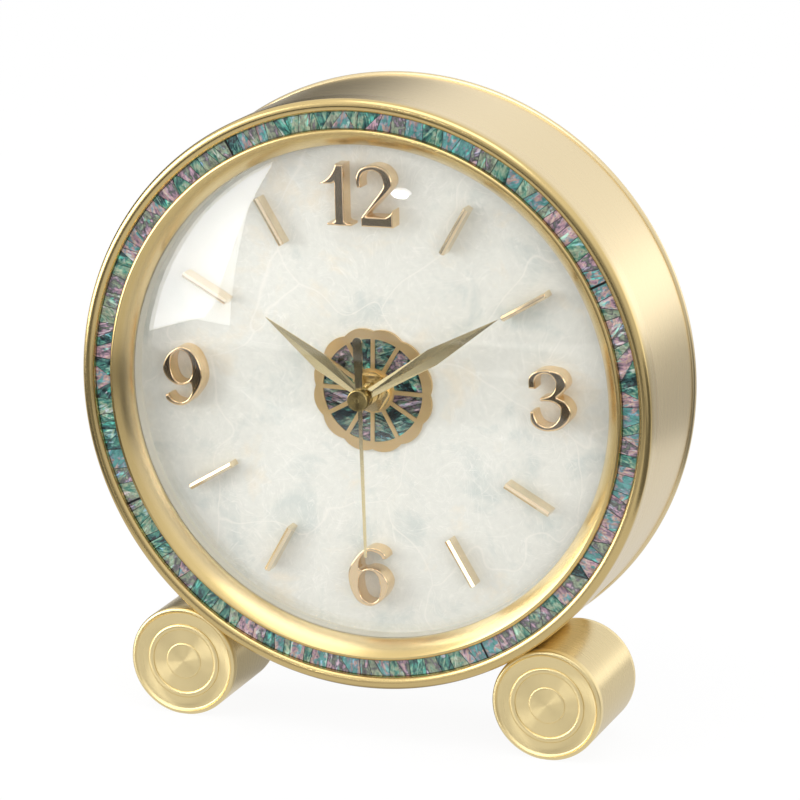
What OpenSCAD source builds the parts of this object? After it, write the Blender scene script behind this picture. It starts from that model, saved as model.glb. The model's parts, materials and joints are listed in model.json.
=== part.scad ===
/* [Case] */
// Outer diameter of the drum and of the bezel
case_d = 179.6; // [150:1:220]
// Depth from the front of the bezel to the back of the drum
case_depth = 45.5; // [44:0.5:70]
// Wall of the drum
drum_wall = 1.5; // [1:0.1:2.5]
// Radius of the rolled bead at the back of the drum
bead_r = 1.3; // [0.8:0.1:2]
// How far that bead stands proud of the drum
bead_proud = 0.8; // [0.3:0.1:1.2]
// Width of the ledge inside the drum that the dial board rests on
ledge_w = 5.5; // [3:0.5:10]
// Thickness of that ledge
ledge_t = 1.5; // [1:0.1:3]

/* [Bezel] */
// Radius of the round outer rim
rim_r = 1.95; // [1.2:0.05:3]
// Width of the channel that the shell inlay lies in
channel_w = 5; // [3:0.1:8]
// Width of the inner rim, from the channel to the opening
inner_rim_w = 5.5; // [4:0.1:8]
// Height of the inner rim above the face of the inlay
inner_rim_h = 1.6; // [0.8:0.1:3]
// Fall of the inner rim from its crest to its edge
inner_rim_fall = 5.5; // [3:0.1:8]
// Rounding of the inner rim's crest
crest_r = 0.8; // [0.3:0.1:1.4]
// Thickness of the lip in front of the lens
lip_t = 1; // [0.6:0.1:2]
// Wall of the bezel's hollow back
bezel_wall = 1.5; // [1:0.1:2.5]
// Depth from the inlay's face to the seam with the drum
seam_depth = 6; // [4:0.5:8]
// Thickness of the shell inlay
inlay_t = 1.2; // [0.8:0.1:2]
// Open joint between two lengths of inlay
inlay_joint = 0.5; // [0.2:0.1:1]

/* [Lens] */
// How far the domed lens stands in front of the bezel
lens_rise = 7.05; // [6:0.05:12]
// Thickness of the lens
lens_t = 2.2; // [1.5:0.1:3]
// How far the lens reaches under the lip
lens_seat_w = 2.1; // [1:0.1:4]
// Thickness of the rubber ring behind the lens
gasket_t = 0.8; // [0.5:0.1:1.5]
// Depth of the brass ring between the gasket and the dial
rehaut_h = 3.3; // [2:0.1:6]

/* [Dial] */
// Thickness of the shell veneer
veneer_t = 0.8; // [0.4:0.1:1.5]
// Thickness of the dial board
board_t = 3; // [2:0.1:4]
// Height of a numeral
numeral_h = 18.4; // [12:0.1:20]
// How far the numerals stand up from the dial
numeral_t = 5.7; // [2:0.1:5.9]
// Distance from the opening's edge to the middle of a numeral
numeral_inset = 17.4; // [17:0.1:22]
// How far the numerals sit above their even places
numeral_lift = 1.6; // [0:0.1:1.7]
// How far the numerals and bars sit to the right of the axis
marks_shift = -1.2; // [-1.4:0.1:1.4]
// Turn of the numerals and bars from straight, clockwise
marks_turn = -1.6; // [-3:0.1:3]
// Length of an hour bar
bar_l = 15.7; // [8:0.1:18]
// Width of an hour bar
bar_w = 1.75; // [1:0.05:3]
// How far the hour bars stand up from the dial
bar_t = 5.5; // [2:0.1:6]

/* [Rosette] */
// Diameter of the rosette across two lobes
rosette_d = 38; // [32:0.5:44]
// How deep the notches between the lobes are
rosette_notch = 1; // [0.5:0.1:2]
// Thickness of the rosette plate
rosette_t = 1; // [0.6:0.1:1.5]
// Inner radius of the windows
window_in_r = 6.8; // [6.4:0.1:9]
// Outer radius of the windows
window_out_r = 15.7; // [12:0.1:16.5]
// Width of a spoke between two windows
spoke_w = 1.3; // [0.8:0.1:2]
// Thickness of the shell pieces in the windows
window_shell_t = 0.7; // [0.4:0.1:0.9]

/* [Hands] */
// Hour that the hands show
show_hour = 10; // [0:11]
// Minute that the hands show
show_minute = 9; // [0:59]
// Second that the hands show
show_second = 29.6; // [0:0.1:59.9]
// Length of the hour hand as a share of the opening's radius
hour_share = 0.5; // [0.42:0.005:0.56]
// Greatest width of the hour hand
hour_w = 5.5; // [3:0.1:7]
// Length of the minute hand as a share of the opening's radius
minute_share = 0.674; // [0.58:0.002:0.7]
// Greatest width of the minute hand
minute_w = 5.2; // [3:0.1:7]
// Length of the second hand as a share of the opening's radius
second_share = 0.641; // [0.531:0.002:0.651]
// Length of the second hand's tail
tail_l = 18.6; // [12:0.1:22]
// Width of the tail's round end
tail_w = 3; // [2:0.1:4]
// Width of the second hand's needle
needle_w = 1.2; // [0.8:0.1:2]
// Thickness of the second hand
needle_t = 0.35; // [0.2:0.05:0.6]
// Diameter of the cap on the second hand
cap_d = 6.5; // [4:0.1:8]
// Thickness of that cap
cap_t = 2; // [1.4:0.1:2.5]
// Thickness of the hour and minute hands at their edges
blade_t = 0.45; // [0.3:0.05:0.6]
// Height of their ridge above the edges
ridge_t = 0.35; // [0.2:0.05:0.5]

/* [Centre] */
// Diameter of the threaded bush
bush_d = 8; // [7:0.1:10]
// Length of the bush in front of the movement
bush_l = 9.1; // [8.6:0.1:10]
// Thickness of the dial nut
nut_t = 2.2; // [1.5:0.1:2.4]
// Width of the nut across its flats
nut_w = 10.4; // [9.5:0.1:11]
// Diameter of the brass washer under the nut
washer_d = 12; // [11:0.1:13]
// Thickness of that washer
washer_t = 0.6; // [0.4:0.1:0.8]
// Thickness of the rubber washer behind the dial
rubber_t = 1; // [0.6:0.1:2]
// Diameter of the rubber washer
rubber_d = 22; // [16:1:40]

/* [Movement] */
// Depth of the movement's case
move_t = 16; // [16:0.5:20]
// Wall of the movement's case
move_wall = 1; // [0.8:0.1:1.4]
// Outer diameter of the hour tube
hour_tube_d = 5; // [4.6:0.1:5.4]
// Outer diameter of the minute arbor
minute_arbor_d = 3.4; // [3:0.1:3.6]
// Outer diameter of the seconds arbor
second_arbor_d = 1.1; // [0.8:0.1:1.2]
// Thickness of a train wheel
wheel_t = 0.7; // [0.4:0.1:0.7]
// Diameter of the setting knob
knob_d = 13; // [10:0.5:16]
// Height of the setting knob behind the movement
knob_t = 4; // [2:0.5:6]
// Diameter of the battery
cell_d = 14.5; // [14:0.1:14.6]
// Length of the battery with its cap
cell_l = 50.5; // [40:0.1:62]
// Room for a contact at each end of the battery
contact_room = 1.75; // [1.2:0.05:3]

/* [Rear cover] */
// Thickness of the rear cover
cover_t = 1.5; // [1:0.1:3]
// How far the cover lies in from the back of the drum
cover_recess = 2; // [1.9:0.1:4]
// Gap between the movement and the well around it
well_gap = 2.5; // [1:0.5:6]
// Depth of the well from the cover's front
well_depth = 12; // [4:0.5:13]
// Distance of the cover screws from the drum's wall
screw_inset = 6.3; // [5.5:0.1:12]
// Thread diameter of the cover screws
screw_d = 3; // [2.5:0.5:3.5]

/* [Feet] */
// Diameter of a foot
foot_d = 34.2; // [28:0.2:42]
// Length of a foot
foot_l = 35.5; // [34:0.5:38]
// Angle between the line from the drum's axis to a foot and the vertical
foot_tilt = 33.32; // [26:0.02:40]
// How far the foot's front lies behind the inlay's face
foot_set_back = 0.4; // [0:0.1:2]
// Depth of the saddle that the drum sits in
foot_seat = 0.4; // [0.2:0.1:1]
// Depth of the flat that the foot stands on
foot_flat = 0.25; // [0.1:0.05:0.6]
// Wall of the foot's tube
foot_wall = 2.6; // [2:0.1:4]
// Thickness of a foot's end cap
foot_cap_t = 2.5; // [2.2:0.1:4]
// Thread diameter of the foot screws
foot_screw_d = 4; // [3:0.5:4]

/* [Hidden] */
$fn = 96;

// Fits and overruns
fit = 0.05;
run_gap = 0.08;
over = 1;

// Radii of the case
case_r = case_d / 2;
drum_in_r = case_r - drum_wall;
channel_out_r = case_r - 2 * rim_r;
channel_in_r = channel_out_r - channel_w;
open_r = channel_in_r - inner_rim_w;
lens_seat_r = open_r + lens_seat_w;
spigot_r = drum_in_r - fit;

// Reach of what stands on the dial, from the centre
numeral_r = open_r - numeral_inset;
hour_l = open_r * hour_share;
minute_l = open_r * minute_share;
second_l = open_r * second_share;

// Circle of the cover's screws
screw_circle_r = drum_in_r - screw_inset;

// Stations along the clock's axis, front to back
total_depth = case_depth + lens_rise;
front_y = -total_depth / 2;
rear_y = total_depth / 2;
face_y = front_y + lens_rise + rim_r;
lip_y = face_y - inner_rim_h + inner_rim_fall;
lens_seat_y = lip_y + lip_t;
gasket_y = lens_seat_y + lens_t;
rehaut_y = gasket_y + gasket_t;
dial_y = rehaut_y + rehaut_h;
board_y = dial_y + veneer_t;
ledge_y = board_y + board_t;
move_y = ledge_y + rubber_t;
move_rear_y = move_y + move_t;
seam_y = face_y + seam_depth;
cover_rear_y = rear_y - cover_recess;
cover_y = cover_rear_y - cover_t;

// Height of the feet's axes and of the drum's axis above the table
foot_r = foot_d / 2;
foot_z = foot_r - foot_flat;
foot_reach = case_r + foot_r - foot_seat;
foot_x = foot_reach * sin(foot_tilt);
axis_z = foot_z + foot_reach * cos(foot_tilt);

// Steps of the hands, from the bush's front towards the lens
bush_front_y = move_y - bush_l;
bush_gap = 0.6;
blade_gap = 0.9;
needle_gap = 0.3;
hour_collet_l = 3.5;
hour_back_y = bush_front_y - bush_gap - hour_collet_l;
hour_front_y = hour_back_y - blade_t - ridge_t;
minute_back_y = hour_front_y - blade_gap;
minute_front_y = minute_back_y - blade_t - ridge_t;
second_collet_l = 0.4;
second_back_y = minute_front_y - needle_gap - second_collet_l;
second_front_y = second_back_y - needle_t;
cap_front_y = second_front_y - cap_t;
collet_wall = 0.7;
hub_r = 2.9;

// Angles of the hands, clockwise from twelve
second_angle = show_second * 6;
minute_angle = (show_minute + show_second / 60) * 6;
hour_angle = (show_hour + (show_minute + show_second / 60) / 60) * 30;

// Gear train: teeth, and the module of each pair
cannon_teeth = 12;
minute_teeth = 36;
minute_pinion_teeth = 10;
hour_teeth = 40;
knob_teeth = 12;
centre_teeth = 64;
third_pinion_teeth = 8;
third_teeth = 60;
second_pinion_teeth = 8;
second_teeth = 60;
inter_pinion_teeth = 12;
inter_teeth = 72;
rotor_teeth = 12;
motion_reach = 8;
train_reach = 9;
rotor_reach = 7.56;
minute_module = 2 * motion_reach / (cannon_teeth + minute_teeth);
hour_module = 2 * motion_reach / (minute_pinion_teeth + hour_teeth);
centre_module = 2 * train_reach / (centre_teeth + third_pinion_teeth);
third_module = 2 * train_reach / (third_teeth + second_pinion_teeth);
second_module = 2 * train_reach / (second_teeth + inter_pinion_teeth);
inter_module = 2 * rotor_reach / (inter_teeth + rotor_teeth);

// Directions from one arbor to the next, seen from the front
minute_wheel_angle = 150;
knob_wheel_angle = 150;
third_wheel_angle = -5;
inter_wheel_angle = 75;
rotor_wheel_angle = 90;
minute_at = polar(motion_reach, minute_wheel_angle);
knob_at = minute_at + polar(motion_reach, knob_wheel_angle);
third_at = polar(train_reach, third_wheel_angle);
inter_at = polar(train_reach, inter_wheel_angle);
rotor_at = inter_at + polar(rotor_reach, rotor_wheel_angle);

// Coil above the rotor; the movement is as wide as the battery or the coil needs
coil_r = 3.1;
coil_gap = 0.6;
coil_reach = 7.047;
coil_z = rotor_at[1] + coil_reach;
move_w = 2 * move_wall + max(cell_l + 2 * contact_room, 2 * (coil_z + coil_r + coil_gap));
well_w = move_w + 2 * well_gap;

// Depth of each wheel behind the movement's front
pinion_over = 0.12;
hour_wheel_in = 1.3;
hour_wheel_y = move_y + hour_wheel_in;
minute_wheel_in = 2.6;
minute_wheel_y = move_y + minute_wheel_in;
centre_wheel_in = 3.8;
centre_wheel_y = move_y + centre_wheel_in;
third_wheel_in = 5.1;
third_wheel_y = move_y + third_wheel_in;
second_wheel_in = 6.3;
second_wheel_y = move_y + second_wheel_in;
inter_wheel_in = 7.4;
inter_wheel_y = move_y + inter_wheel_in;
rotor_in = 8.6;
rotor_y = move_y + rotor_in;
train_arbor_r = 0.35;
pivot_boss_r = 1;
pivot_depth = 0.6;
boss_gap = 0.4;

// Tooth shape: half widths at root and tip as shares of the pitch, heights as shares of the module
tooth_root_share = 0.27;
tooth_tip_share = 0.1;
tooth_add_share = 0.9;
tooth_ded_share = 1.2;

// Movement's inside: battery bay below, train above
bay_gap = 0.45;
bay_top_z = bay_gap * 2 + cell_d - move_w / 2 + move_wall;
cell_z = bay_top_z - bay_gap - cell_d / 2;
cell_gap = 0.15;
cell_y = move_y + move_wall + cell_gap + cell_d / 2;
cell_nub_r = 2.75;
cell_nub_l = 1.25;
contact_t = 0.4;
contact_w = 9;

function polar(r, a) = [r * cos(a), r * sin(a)];

// Points of an arc about c; angles count from outwards towards the front
function arc(c, r, a0, a1, n) =
    [for (i = [0:n]) let (a = a0 + (a1 - a0) * i / n) [c[0] + r * cos(a), c[1] - r * sin(a)]];

// Points of a quadratic curve from a to c, drawn towards b
function curve(a, b, c, n) =
    [for (i = [0:n]) let (t = i / n) (1 - t) * (1 - t) * a + 2 * t * (1 - t) * b + t * t * c];

// Ring of trapezoid teeth with one tooth centred on the angle phase
function gear(teeth, m, phase) =
    let (pitch = 360 / teeth,
         root = m * (teeth / 2 - tooth_ded_share),
         tip = m * (teeth / 2 + tooth_add_share))
    [for (i = [0:teeth - 1]) for (p = [[-tooth_root_share, root], [-tooth_tip_share, tip],
                                       [tooth_tip_share, tip], [tooth_root_share, root]])
        polar(p[1], phase + (i + p[0]) * pitch)];

// Phase of a gear of nb teeth that meshes with one of na teeth at phase pa, in direction dir from it
function mesh_phase(dir, pa, na, nb) = dir + 180 + 180 / nb - (pa - dir) * na / nb;

// Stands children on the dial's axis at depth y: x right, y up, z towards the front
module at_axis(y) translate([0, y, axis_z]) rotate([90, 0, 0]) children();

// Flat piece between the depths y0 and y1, drawn as seen from the front
module slab(y0, y1) at_axis(y1) linear_extrude(y1 - y0) children();

// Round piece between the depths y0 and y1
module rod(y0, y1, r, at = [0, 0]) slab(y0, y1) translate(at) circle(r);

// Piece turned about the dial's axis from points [radius, depth]
module turned(profile, at = [0, 0])
    translate([at[0], 0, at[1]]) at_axis(0) rotate_extrude() polygon([for (p = profile) [p[0], -p[1]]]);

module on_hours(hours) for (h = hours) rotate(-30 * h) children();

module case_drum() {
    bead = [case_r + bead_proud - bead_r, rear_y - bead_r];
    color([0.89, 0.82, 0.66]) difference() {
        turned(concat(
            [[case_r, seam_y]],
            arc(bead, bead_r, acos((case_r - bead[0]) / bead_r), -90, 10),
            [[drum_in_r, rear_y], [drum_in_r, ledge_y + ledge_t],
             [drum_in_r - ledge_w, ledge_y + ledge_t], [drum_in_r - ledge_w, ledge_y],
             [drum_in_r, ledge_y], [drum_in_r, seam_y]]));
        for (way = [-1, 1]) for (y = foot_screw_ys)
            foot_screw_line(way, y) cylinder(h = case_r + over, r = foot_screw_d / 2 + fit);
    }
}

slope_shares = [0.42, 0.62];
crest_turn = 80;

module bezel() {
    crest_in = [channel_in_r - crest_r, face_y - inner_rim_h];
    rise = [crest_in[0] - open_r, crest_in[1] - lip_y];
    relief_y = face_y + inlay_t + bezel_wall;
    color([0.79, 0.69, 0.45]) turned(concat(
        curve([open_r, lip_y],
              [open_r + rise[0] * slope_shares[0], lip_y + rise[1] * slope_shares[1]], crest_in, 8),
        arc([crest_in[0], crest_in[1] + crest_r], crest_r, crest_turn, 0, 5),
        [[channel_in_r, face_y + inlay_t], [channel_out_r, face_y + inlay_t]],
        arc([case_r - rim_r, face_y], rim_r, 180, 0, 14),
        [[case_r, seam_y], [spigot_r, seam_y], [spigot_r, board_y],
         [spigot_r - bezel_wall, board_y], [spigot_r - bezel_wall, relief_y],
         [lens_seat_r + bezel_wall, relief_y], [lens_seat_r + bezel_wall, board_y],
         [lens_seat_r, board_y], [lens_seat_r, lens_seat_y], [open_r, lens_seat_y]]));
}

inlay_gap = 0.12;
inlay_joint_angles = [29, -62, -152, 120];

module shell_inlay() color([0.3, 0.55, 0.5]) difference() {
    slab(face_y, face_y + inlay_t) difference() {
        circle(channel_out_r - inlay_gap);
        circle(channel_in_r + inlay_gap);
    }
    slab(face_y - over, face_y + inlay_t + over) for (a = inlay_joint_angles) rotate(a)
        translate([channel_in_r - over, -inlay_joint / 2]) square([channel_w + 2 * over, inlay_joint]);
}

lens_gap = 0.2;

module lens() {
    dome_r = open_r - lens_gap;
    sag = lens_seat_y - front_y;
    ball_r = (dome_r * dome_r + sag * sag) / (2 * sag);
    edge_a = asin(dome_r / ball_r);
    outer = arc([0, front_y + ball_r], ball_r, 90, 90 - edge_a, 24);
    color([0.9, 0.95, 0.95, 0.35]) turned(concat(
        outer,
        [[lens_seat_r - lens_gap, lens_seat_y], [lens_seat_r - lens_gap, gasket_y]],
        [for (i = [len(outer) - 1:-1:0]) outer[i] + [0, lens_t]]));
}

ring_w = 1.7;

module lens_gasket() color([0.1, 0.1, 0.1]) slab(gasket_y, rehaut_y) difference() {
    circle(lens_seat_r - lens_gap);
    circle(lens_seat_r - lens_gap - ring_w);
}

rehaut_slope = 0.6;

module rehaut() {
    out_r = lens_seat_r - lens_gap;
    color([0.72, 0.62, 0.4]) turned([
        [out_r, rehaut_y], [out_r, dial_y],
        [out_r - ring_w - rehaut_slope, dial_y], [out_r - ring_w, rehaut_y]]);
}

dial_hole_r = bush_d / 2 + fit;

module dial_board() color([0.75, 0.7, 0.62]) slab(board_y, ledge_y) difference() {
    circle(drum_in_r - 4 * fit);
    circle(dial_hole_r);
}

module dial_veneer() color([0.92, 0.92, 0.87]) slab(dial_y, board_y) difference() {
    circle(lens_seat_r - lens_gap);
    circle(dial_hole_r);
}

// Outlines of the figures in shares of their height, from the middle; a third value marks a corner
one_shares = [
    [-0.332, 0.174, 1], [-0.185, 0.272], [-0.092, 0.402], [-0.054, 0.5, 1], [0.082, 0.5, 1],
    [0.082, -0.418, 1], [0.12, -0.451], [0.196, -0.462, 1], [0.196, -0.5, 1], [-0.212, -0.5, 1],
    [-0.212, -0.462, 1], [-0.12, -0.451], [-0.076, -0.418, 1], [-0.076, 0.212, 1], [-0.141, 0.174]];
two_shares = [
    [-0.288, 0.136, 1], [-0.31, 0.283], [-0.25, 0.424], [-0.125, 0.489], [0.011, 0.505],
    [0.168, 0.462], [0.272, 0.353], [0.304, 0.217], [0.234, 0.087], [-0.065, -0.228],
    [-0.152, -0.326, 1], [0.174, -0.326, 1], [0.25, -0.283], [0.304, -0.212, 1], [0.304, -0.495, 1],
    [-0.234, -0.495, 1], [-0.234, -0.342, 1], [-0.033, -0.087], [0.13, 0.13], [0.152, 0.239],
    [0.103, 0.364], [-0.027, 0.418], [-0.174, 0.375], [-0.234, 0.272], [-0.228, 0.136, 1]];
three_shares = [
    [-0.353, 0.185, 1], [-0.348, 0.359], [-0.25, 0.462], [-0.06, 0.505], [0.168, 0.462],
    [0.272, 0.326], [0.255, 0.196], [0.12, 0.065, 1], [0.261, 0], [0.348, -0.13], [0.337, -0.261],
    [0.255, -0.375], [0.13, -0.462], [-0.06, -0.5], [-0.217, -0.462], [-0.321, -0.364],
    [-0.332, -0.196, 1], [-0.272, -0.185, 1], [-0.245, -0.283], [-0.185, -0.38], [-0.06, -0.424],
    [0.06, -0.38], [0.147, -0.272], [0.174, -0.147], [0.141, -0.065], [0.022, -0.011],
    [-0.163, -0.011, 1], [-0.163, 0.038, 1], [0.005, 0.098], [0.082, 0.201], [0.092, 0.315],
    [0.022, 0.413], [-0.087, 0.44], [-0.201, 0.391], [-0.245, 0.304], [-0.245, 0.185, 1]];
nine_shares = [
    [-0.348, 0.103], [-0.315, 0.245], [-0.217, 0.391], [-0.027, 0.495], [0.174, 0.435], [0.299, 0.25],
    [0.348, 0.022], [0.315, -0.147], [0.217, -0.304], [0.103, -0.429], [-0.033, -0.495],
    [-0.185, -0.478], [-0.293, -0.413], [-0.321, -0.326, 1], [-0.261, -0.31, 1], [-0.19, -0.397],
    [-0.054, -0.435], [0.065, -0.386], [0.147, -0.266], [0.158, -0.174], [0.125, -0.109],
    [-0.027, -0.152], [-0.174, -0.125], [-0.288, -0.033]];
eye_shares = [
    [-0.207, 0.212], [-0.163, 0.359], [-0.043, 0.435], [0.098, 0.38], [0.163, 0.212], [0.163, 0.038],
    [0.076, -0.076], [-0.054, -0.103], [-0.152, -0.033], [-0.196, 0.092]];
one_x_share = -0.334;
two_x_share = 0.269;
curve_steps = 4;

// Closed smooth line through the points, with n steps between two of them
function corner_twice(k) = [for (p = k) each len(p) > 2 ? [[p[0], p[1]], [p[0], p[1]]] : [p]];
function bend(p0, p1, p2, p3, t) =
    (2 * p1 + (p2 - p0) * t + (2 * p0 - 5 * p1 + 4 * p2 - p3) * t * t
        + (3 * p1 - p0 - 3 * p2 + p3) * t * t * t) / 2;
function closed_line(k, n) = let (m = len(k))
    [for (i = [0:m - 1]) if (k[i] != k[(i + 1) % m]) for (j = [0:n - 1])
        bend(k[(i + m - 1) % m], k[i], k[(i + 1) % m], k[(i + 2) % m], j / n)];

module figure(shares) polygon(numeral_h * closed_line(corner_twice(shares), curve_steps));

module nine() difference() {
    figure(nine_shares);
    figure(eye_shares);
}

// Marks as they sit on the dial: turned a little and moved to one side
module as_set(lift) translate([marks_shift, lift]) rotate(-marks_turn) children();

module numeral(hour) color([0.86, 0.68, 0.48]) slab(dial_y - numeral_t, dial_y) as_set(numeral_lift)
    translate(polar(numeral_r, 90 - 30 * hour)) children();

module numeral_12() numeral(12) {
    translate([one_x_share * numeral_h, 0]) figure(one_shares);
    translate([two_x_share * numeral_h, 0]) figure(two_shares);
}

module numeral_3() numeral(3) figure(three_shares);

module numeral_6() numeral(6) rotate(180) nine();

module numeral_9() numeral(9) nine();

bar_hours = [for (h = [1:11]) if (h % 3 != 0) h];
bar_shoulder_share = 0.88;

module hour_bars() color([0.88, 0.7, 0.5]) at_axis(dial_y) as_set(0) on_hours(bar_hours)
    translate([0, numeral_r - bar_l / 2, 0]) rotate([-90, 0, 0]) linear_extrude(bar_l)
        polygon([[-bar_w / 2, 0], [bar_w / 2, 0], [bar_w / 2, -bar_t * bar_shoulder_share],
                 [0, -bar_t], [-bar_w / 2, -bar_t * bar_shoulder_share]]);

lobes = 12;

module windows(gap) for (i = [0:lobes - 1]) rotate(i * 360 / lobes + 180 / lobes)
    intersection() {
        difference() {
            circle(window_out_r - gap);
            circle(window_in_r + gap);
        }
        polygon([[(spoke_w / 2 + gap) / sin(180 / lobes), 0],
                 polar(2 * window_out_r, 180 / lobes) + wedge_shift(gap, 1),
                 polar(2 * window_out_r, -180 / lobes) + wedge_shift(gap, -1)]);
    }
function wedge_shift(gap, way) =
    (spoke_w / 2 + gap) * [sin(180 / lobes), -way * cos(180 / lobes)];

module rosette() {
    out_r = rosette_d / 2;
    notch_r = out_r - rosette_notch;
    lobe_at = (out_r * out_r - notch_r * notch_r) / (2 * (out_r - notch_r * cos(180 / lobes)));
    color([0.8, 0.64, 0.44]) slab(dial_y - rosette_t, dial_y) difference() {
        union() {
            circle(window_out_r);
            on_hours([for (i = [0:lobes - 1]) i + 0.5])
                translate([0, lobe_at]) circle(out_r - lobe_at);
        }
        circle(dial_hole_r);
        windows(0);
    }
}

module rosette_shell() color([0.15, 0.4, 0.42])
    slab(dial_y - window_shell_t, dial_y) windows(fit);

module dial_washer() color([0.8, 0.68, 0.42])
    slab(dial_y - rosette_t - washer_t, dial_y - rosette_t) difference() {
        circle(washer_d / 2);
        circle(dial_hole_r);
    }

nut_collar_share = 0.35;

module dial_nut() {
    back_y = dial_y - rosette_t - washer_t;
    collar_y = back_y - nut_t * nut_collar_share;
    nut_r = nut_w / 2 / cos(30);
    color([0.74, 0.6, 0.34]) difference() {
        union() {
            slab(back_y - nut_t, back_y) circle(nut_r, $fn = 6);
            rod(collar_y, back_y, nut_r);
        }
        rod(back_y - nut_t - over, back_y + over, dial_hole_r);
    }
}

module rubber_washer() color([0.1, 0.1, 0.1]) slab(ledge_y, move_y) difference() {
    circle(rubber_d / 2);
    circle(dial_hole_r);
}

// Blade with a ridge, its edge drawn from pairs [share of length, share of half width]
module blade(l, w, back_y, edge_shares) {
    side_pts = [for (p = edge_shares) [p[0] * l, p[1] * w / 2]];
    n = len(side_pts);
    low = concat(side_pts, [for (i = [n - 2:-1:1]) [side_pts[i][0], -side_pts[i][1]]]);
    m = len(low);
    pts = concat([for (p = low) [p[0], p[1], 0]], [for (p = low) [p[0], p[1], blade_t]],
                 [[side_pts[1][0], 0, blade_t + ridge_t]]);
    at_axis(back_y) rotate(90) polyhedron(pts, concat(
        [[for (i = [m - 1:-1:0]) i]],
        [for (i = [0:m - 1]) [i, (i + 1) % m, m + (i + 1) % m, m + i]],
        [for (i = [0:m - 1]) [m + i, m + (i + 1) % m, 2 * m]]));
}

hour_edge_shares = [[0, 0], [0.03, 0.42], [0.43, 1], [1, 0]];
minute_edge_shares = [[0, 0], [0.03, 0.5], [0.52, 1], [1, 0]];

module hour_hand() color([0.78, 0.68, 0.42]) difference() {
    union() {
        rotate_hand(hour_angle) blade(hour_l, hour_w, hour_back_y, hour_edge_shares);
        rod(hour_back_y - blade_t - ridge_t / 2, hour_back_y + hour_collet_l,
            hour_tube_d / 2 + collet_wall);
    }
    rod(hour_front_y - over, hour_back_y + hour_collet_l + over, hour_tube_d / 2 + fit / 2);
}

module minute_hand() color([0.8, 0.7, 0.44]) difference() {
    union() {
        rotate_hand(minute_angle) blade(minute_l, minute_w, minute_back_y, minute_edge_shares);
        rod(minute_back_y - blade_t - ridge_t / 2, minute_back_y, hub_r);
    }
    rod(minute_front_y - over, minute_back_y + over, minute_arbor_d / 2 + fit / 2);
}

needle_tip_share = 0.72;
tail_root_share = 0.65;

module second_hand() {
    color([0.82, 0.72, 0.46]) difference() {
        union() {
            slab(second_front_y, second_back_y) rotate(-second_angle) {
                polygon([[-needle_w / 2, 0], [needle_w / 2, 0],
                         [needle_w / 2 * needle_tip_share, second_l],
                         [-needle_w / 2 * needle_tip_share, second_l]]);
                polygon([[-tail_w / 2 * tail_root_share, 0], [tail_w / 2 * tail_root_share, 0],
                         [tail_w / 2, tail_w / 2 - tail_l], [-tail_w / 2, tail_w / 2 - tail_l]]);
                translate([0, tail_w / 2 - tail_l]) circle(tail_w / 2);
                circle(cap_d / 2 - collet_wall);
            }
            rod(second_back_y - needle_t / 2, second_back_y + second_collet_l,
                second_arbor_d / 2 + collet_wall);
        }
        rod(second_front_y - over, second_back_y + second_collet_l + over,
            second_arbor_d / 2 + fit / 2);
    }
}

cap_edge_shares = [[0, 0], [0.88, 0], [0.97, 0.08], [1, 0.22], [1, 1]];

module second_cap() {
    bore_r = second_arbor_d / 2 + fit / 2;
    bore_y = cap_front_y + cap_t / 2;
    color([0.8, 0.7, 0.44]) turned(concat(
        [for (p = cap_edge_shares) [p[0] * cap_d / 2, cap_front_y + p[1] * cap_t]],
        [[bore_r, second_front_y], [bore_r, bore_y], [0, bore_y]]));
}

module rotate_hand(a) translate([0, 0, axis_z]) rotate([0, a, 0]) translate([0, 0, -axis_z]) children();

module bore(at, r, y0, y1) rod(y0 - over, y1 + over, r, at);

post_r = 1.4;
post_inset = 4.2;
board_l = 10.5;
board_posts = [for (drop = [board_l, 0]) [post_inset - move_w / 2, move_w / 2 - post_inset - drop]];
board_depth = 11;
wheel_post_r = 0.7;

module movement_case() {
    inner = move_w / 2 - move_wall;
    corner = 3 * move_wall;
    color([0.12, 0.12, 0.13]) difference() {
        union() {
            difference() {
                slab(move_y, move_rear_y - move_wall) rounded(move_w, move_w, corner);
                slab(move_y + move_wall, move_rear_y) {
                    between([-inner, bay_top_z + move_wall], [inner, inner]);
                    between([-inner, -inner], [inner, bay_top_z]);
                }
            }
            rod(move_y, minute_wheel_y + wheel_t, wheel_post_r, minute_at);
            for (at = [third_at, inter_at, rotor_at])
                rod(move_y, move_y + move_wall + pivot_depth / 2, pivot_boss_r, at);
            for (at = board_posts) rod(move_y, move_y + board_depth, post_r, at);
            for (at = stator_posts) rod(move_y, stator_y, post_r, at);
        }
        bore([0, 0], bush_d / 2 + fit, move_y, move_y + move_wall);
        for (at = [third_at, inter_at, rotor_at])
            rod(move_y + move_wall - pivot_depth / 2, move_rear_y,
                train_arbor_r + run_gap, at);
    }
}

module rounded(w, h, r) {
    square([w - 2 * r, h], center = true);
    square([w, h - 2 * r], center = true);
    for (x = [-1, 1]) for (y = [-1, 1]) translate([x * (w / 2 - r), y * (h / 2 - r)]) circle(r);
}

module between(a, b) translate(a) square(b - a);

module movement_back() {
    plate_y = move_rear_y - move_wall;
    half = move_w / 2;
    color([0.14, 0.14, 0.15]) difference() {
        union() {
            slab(plate_y, move_rear_y) difference() {
                rounded(move_w, move_w, 3 * move_wall);
                between([-half - over, -half - over], [half + over, bay_top_z]);
            }
            for (p = pivots) rod(p[1], plate_y + move_wall / 2, pivot_boss_r, p[0]);
        }
        for (p = pivots) rod(p[1] - over, p[1] + 2 * pivot_depth, p[2] + run_gap, p[0]);
        bore(knob_at, knob_arbor_r + run_gap, plate_y, move_rear_y);
    }
}

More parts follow.
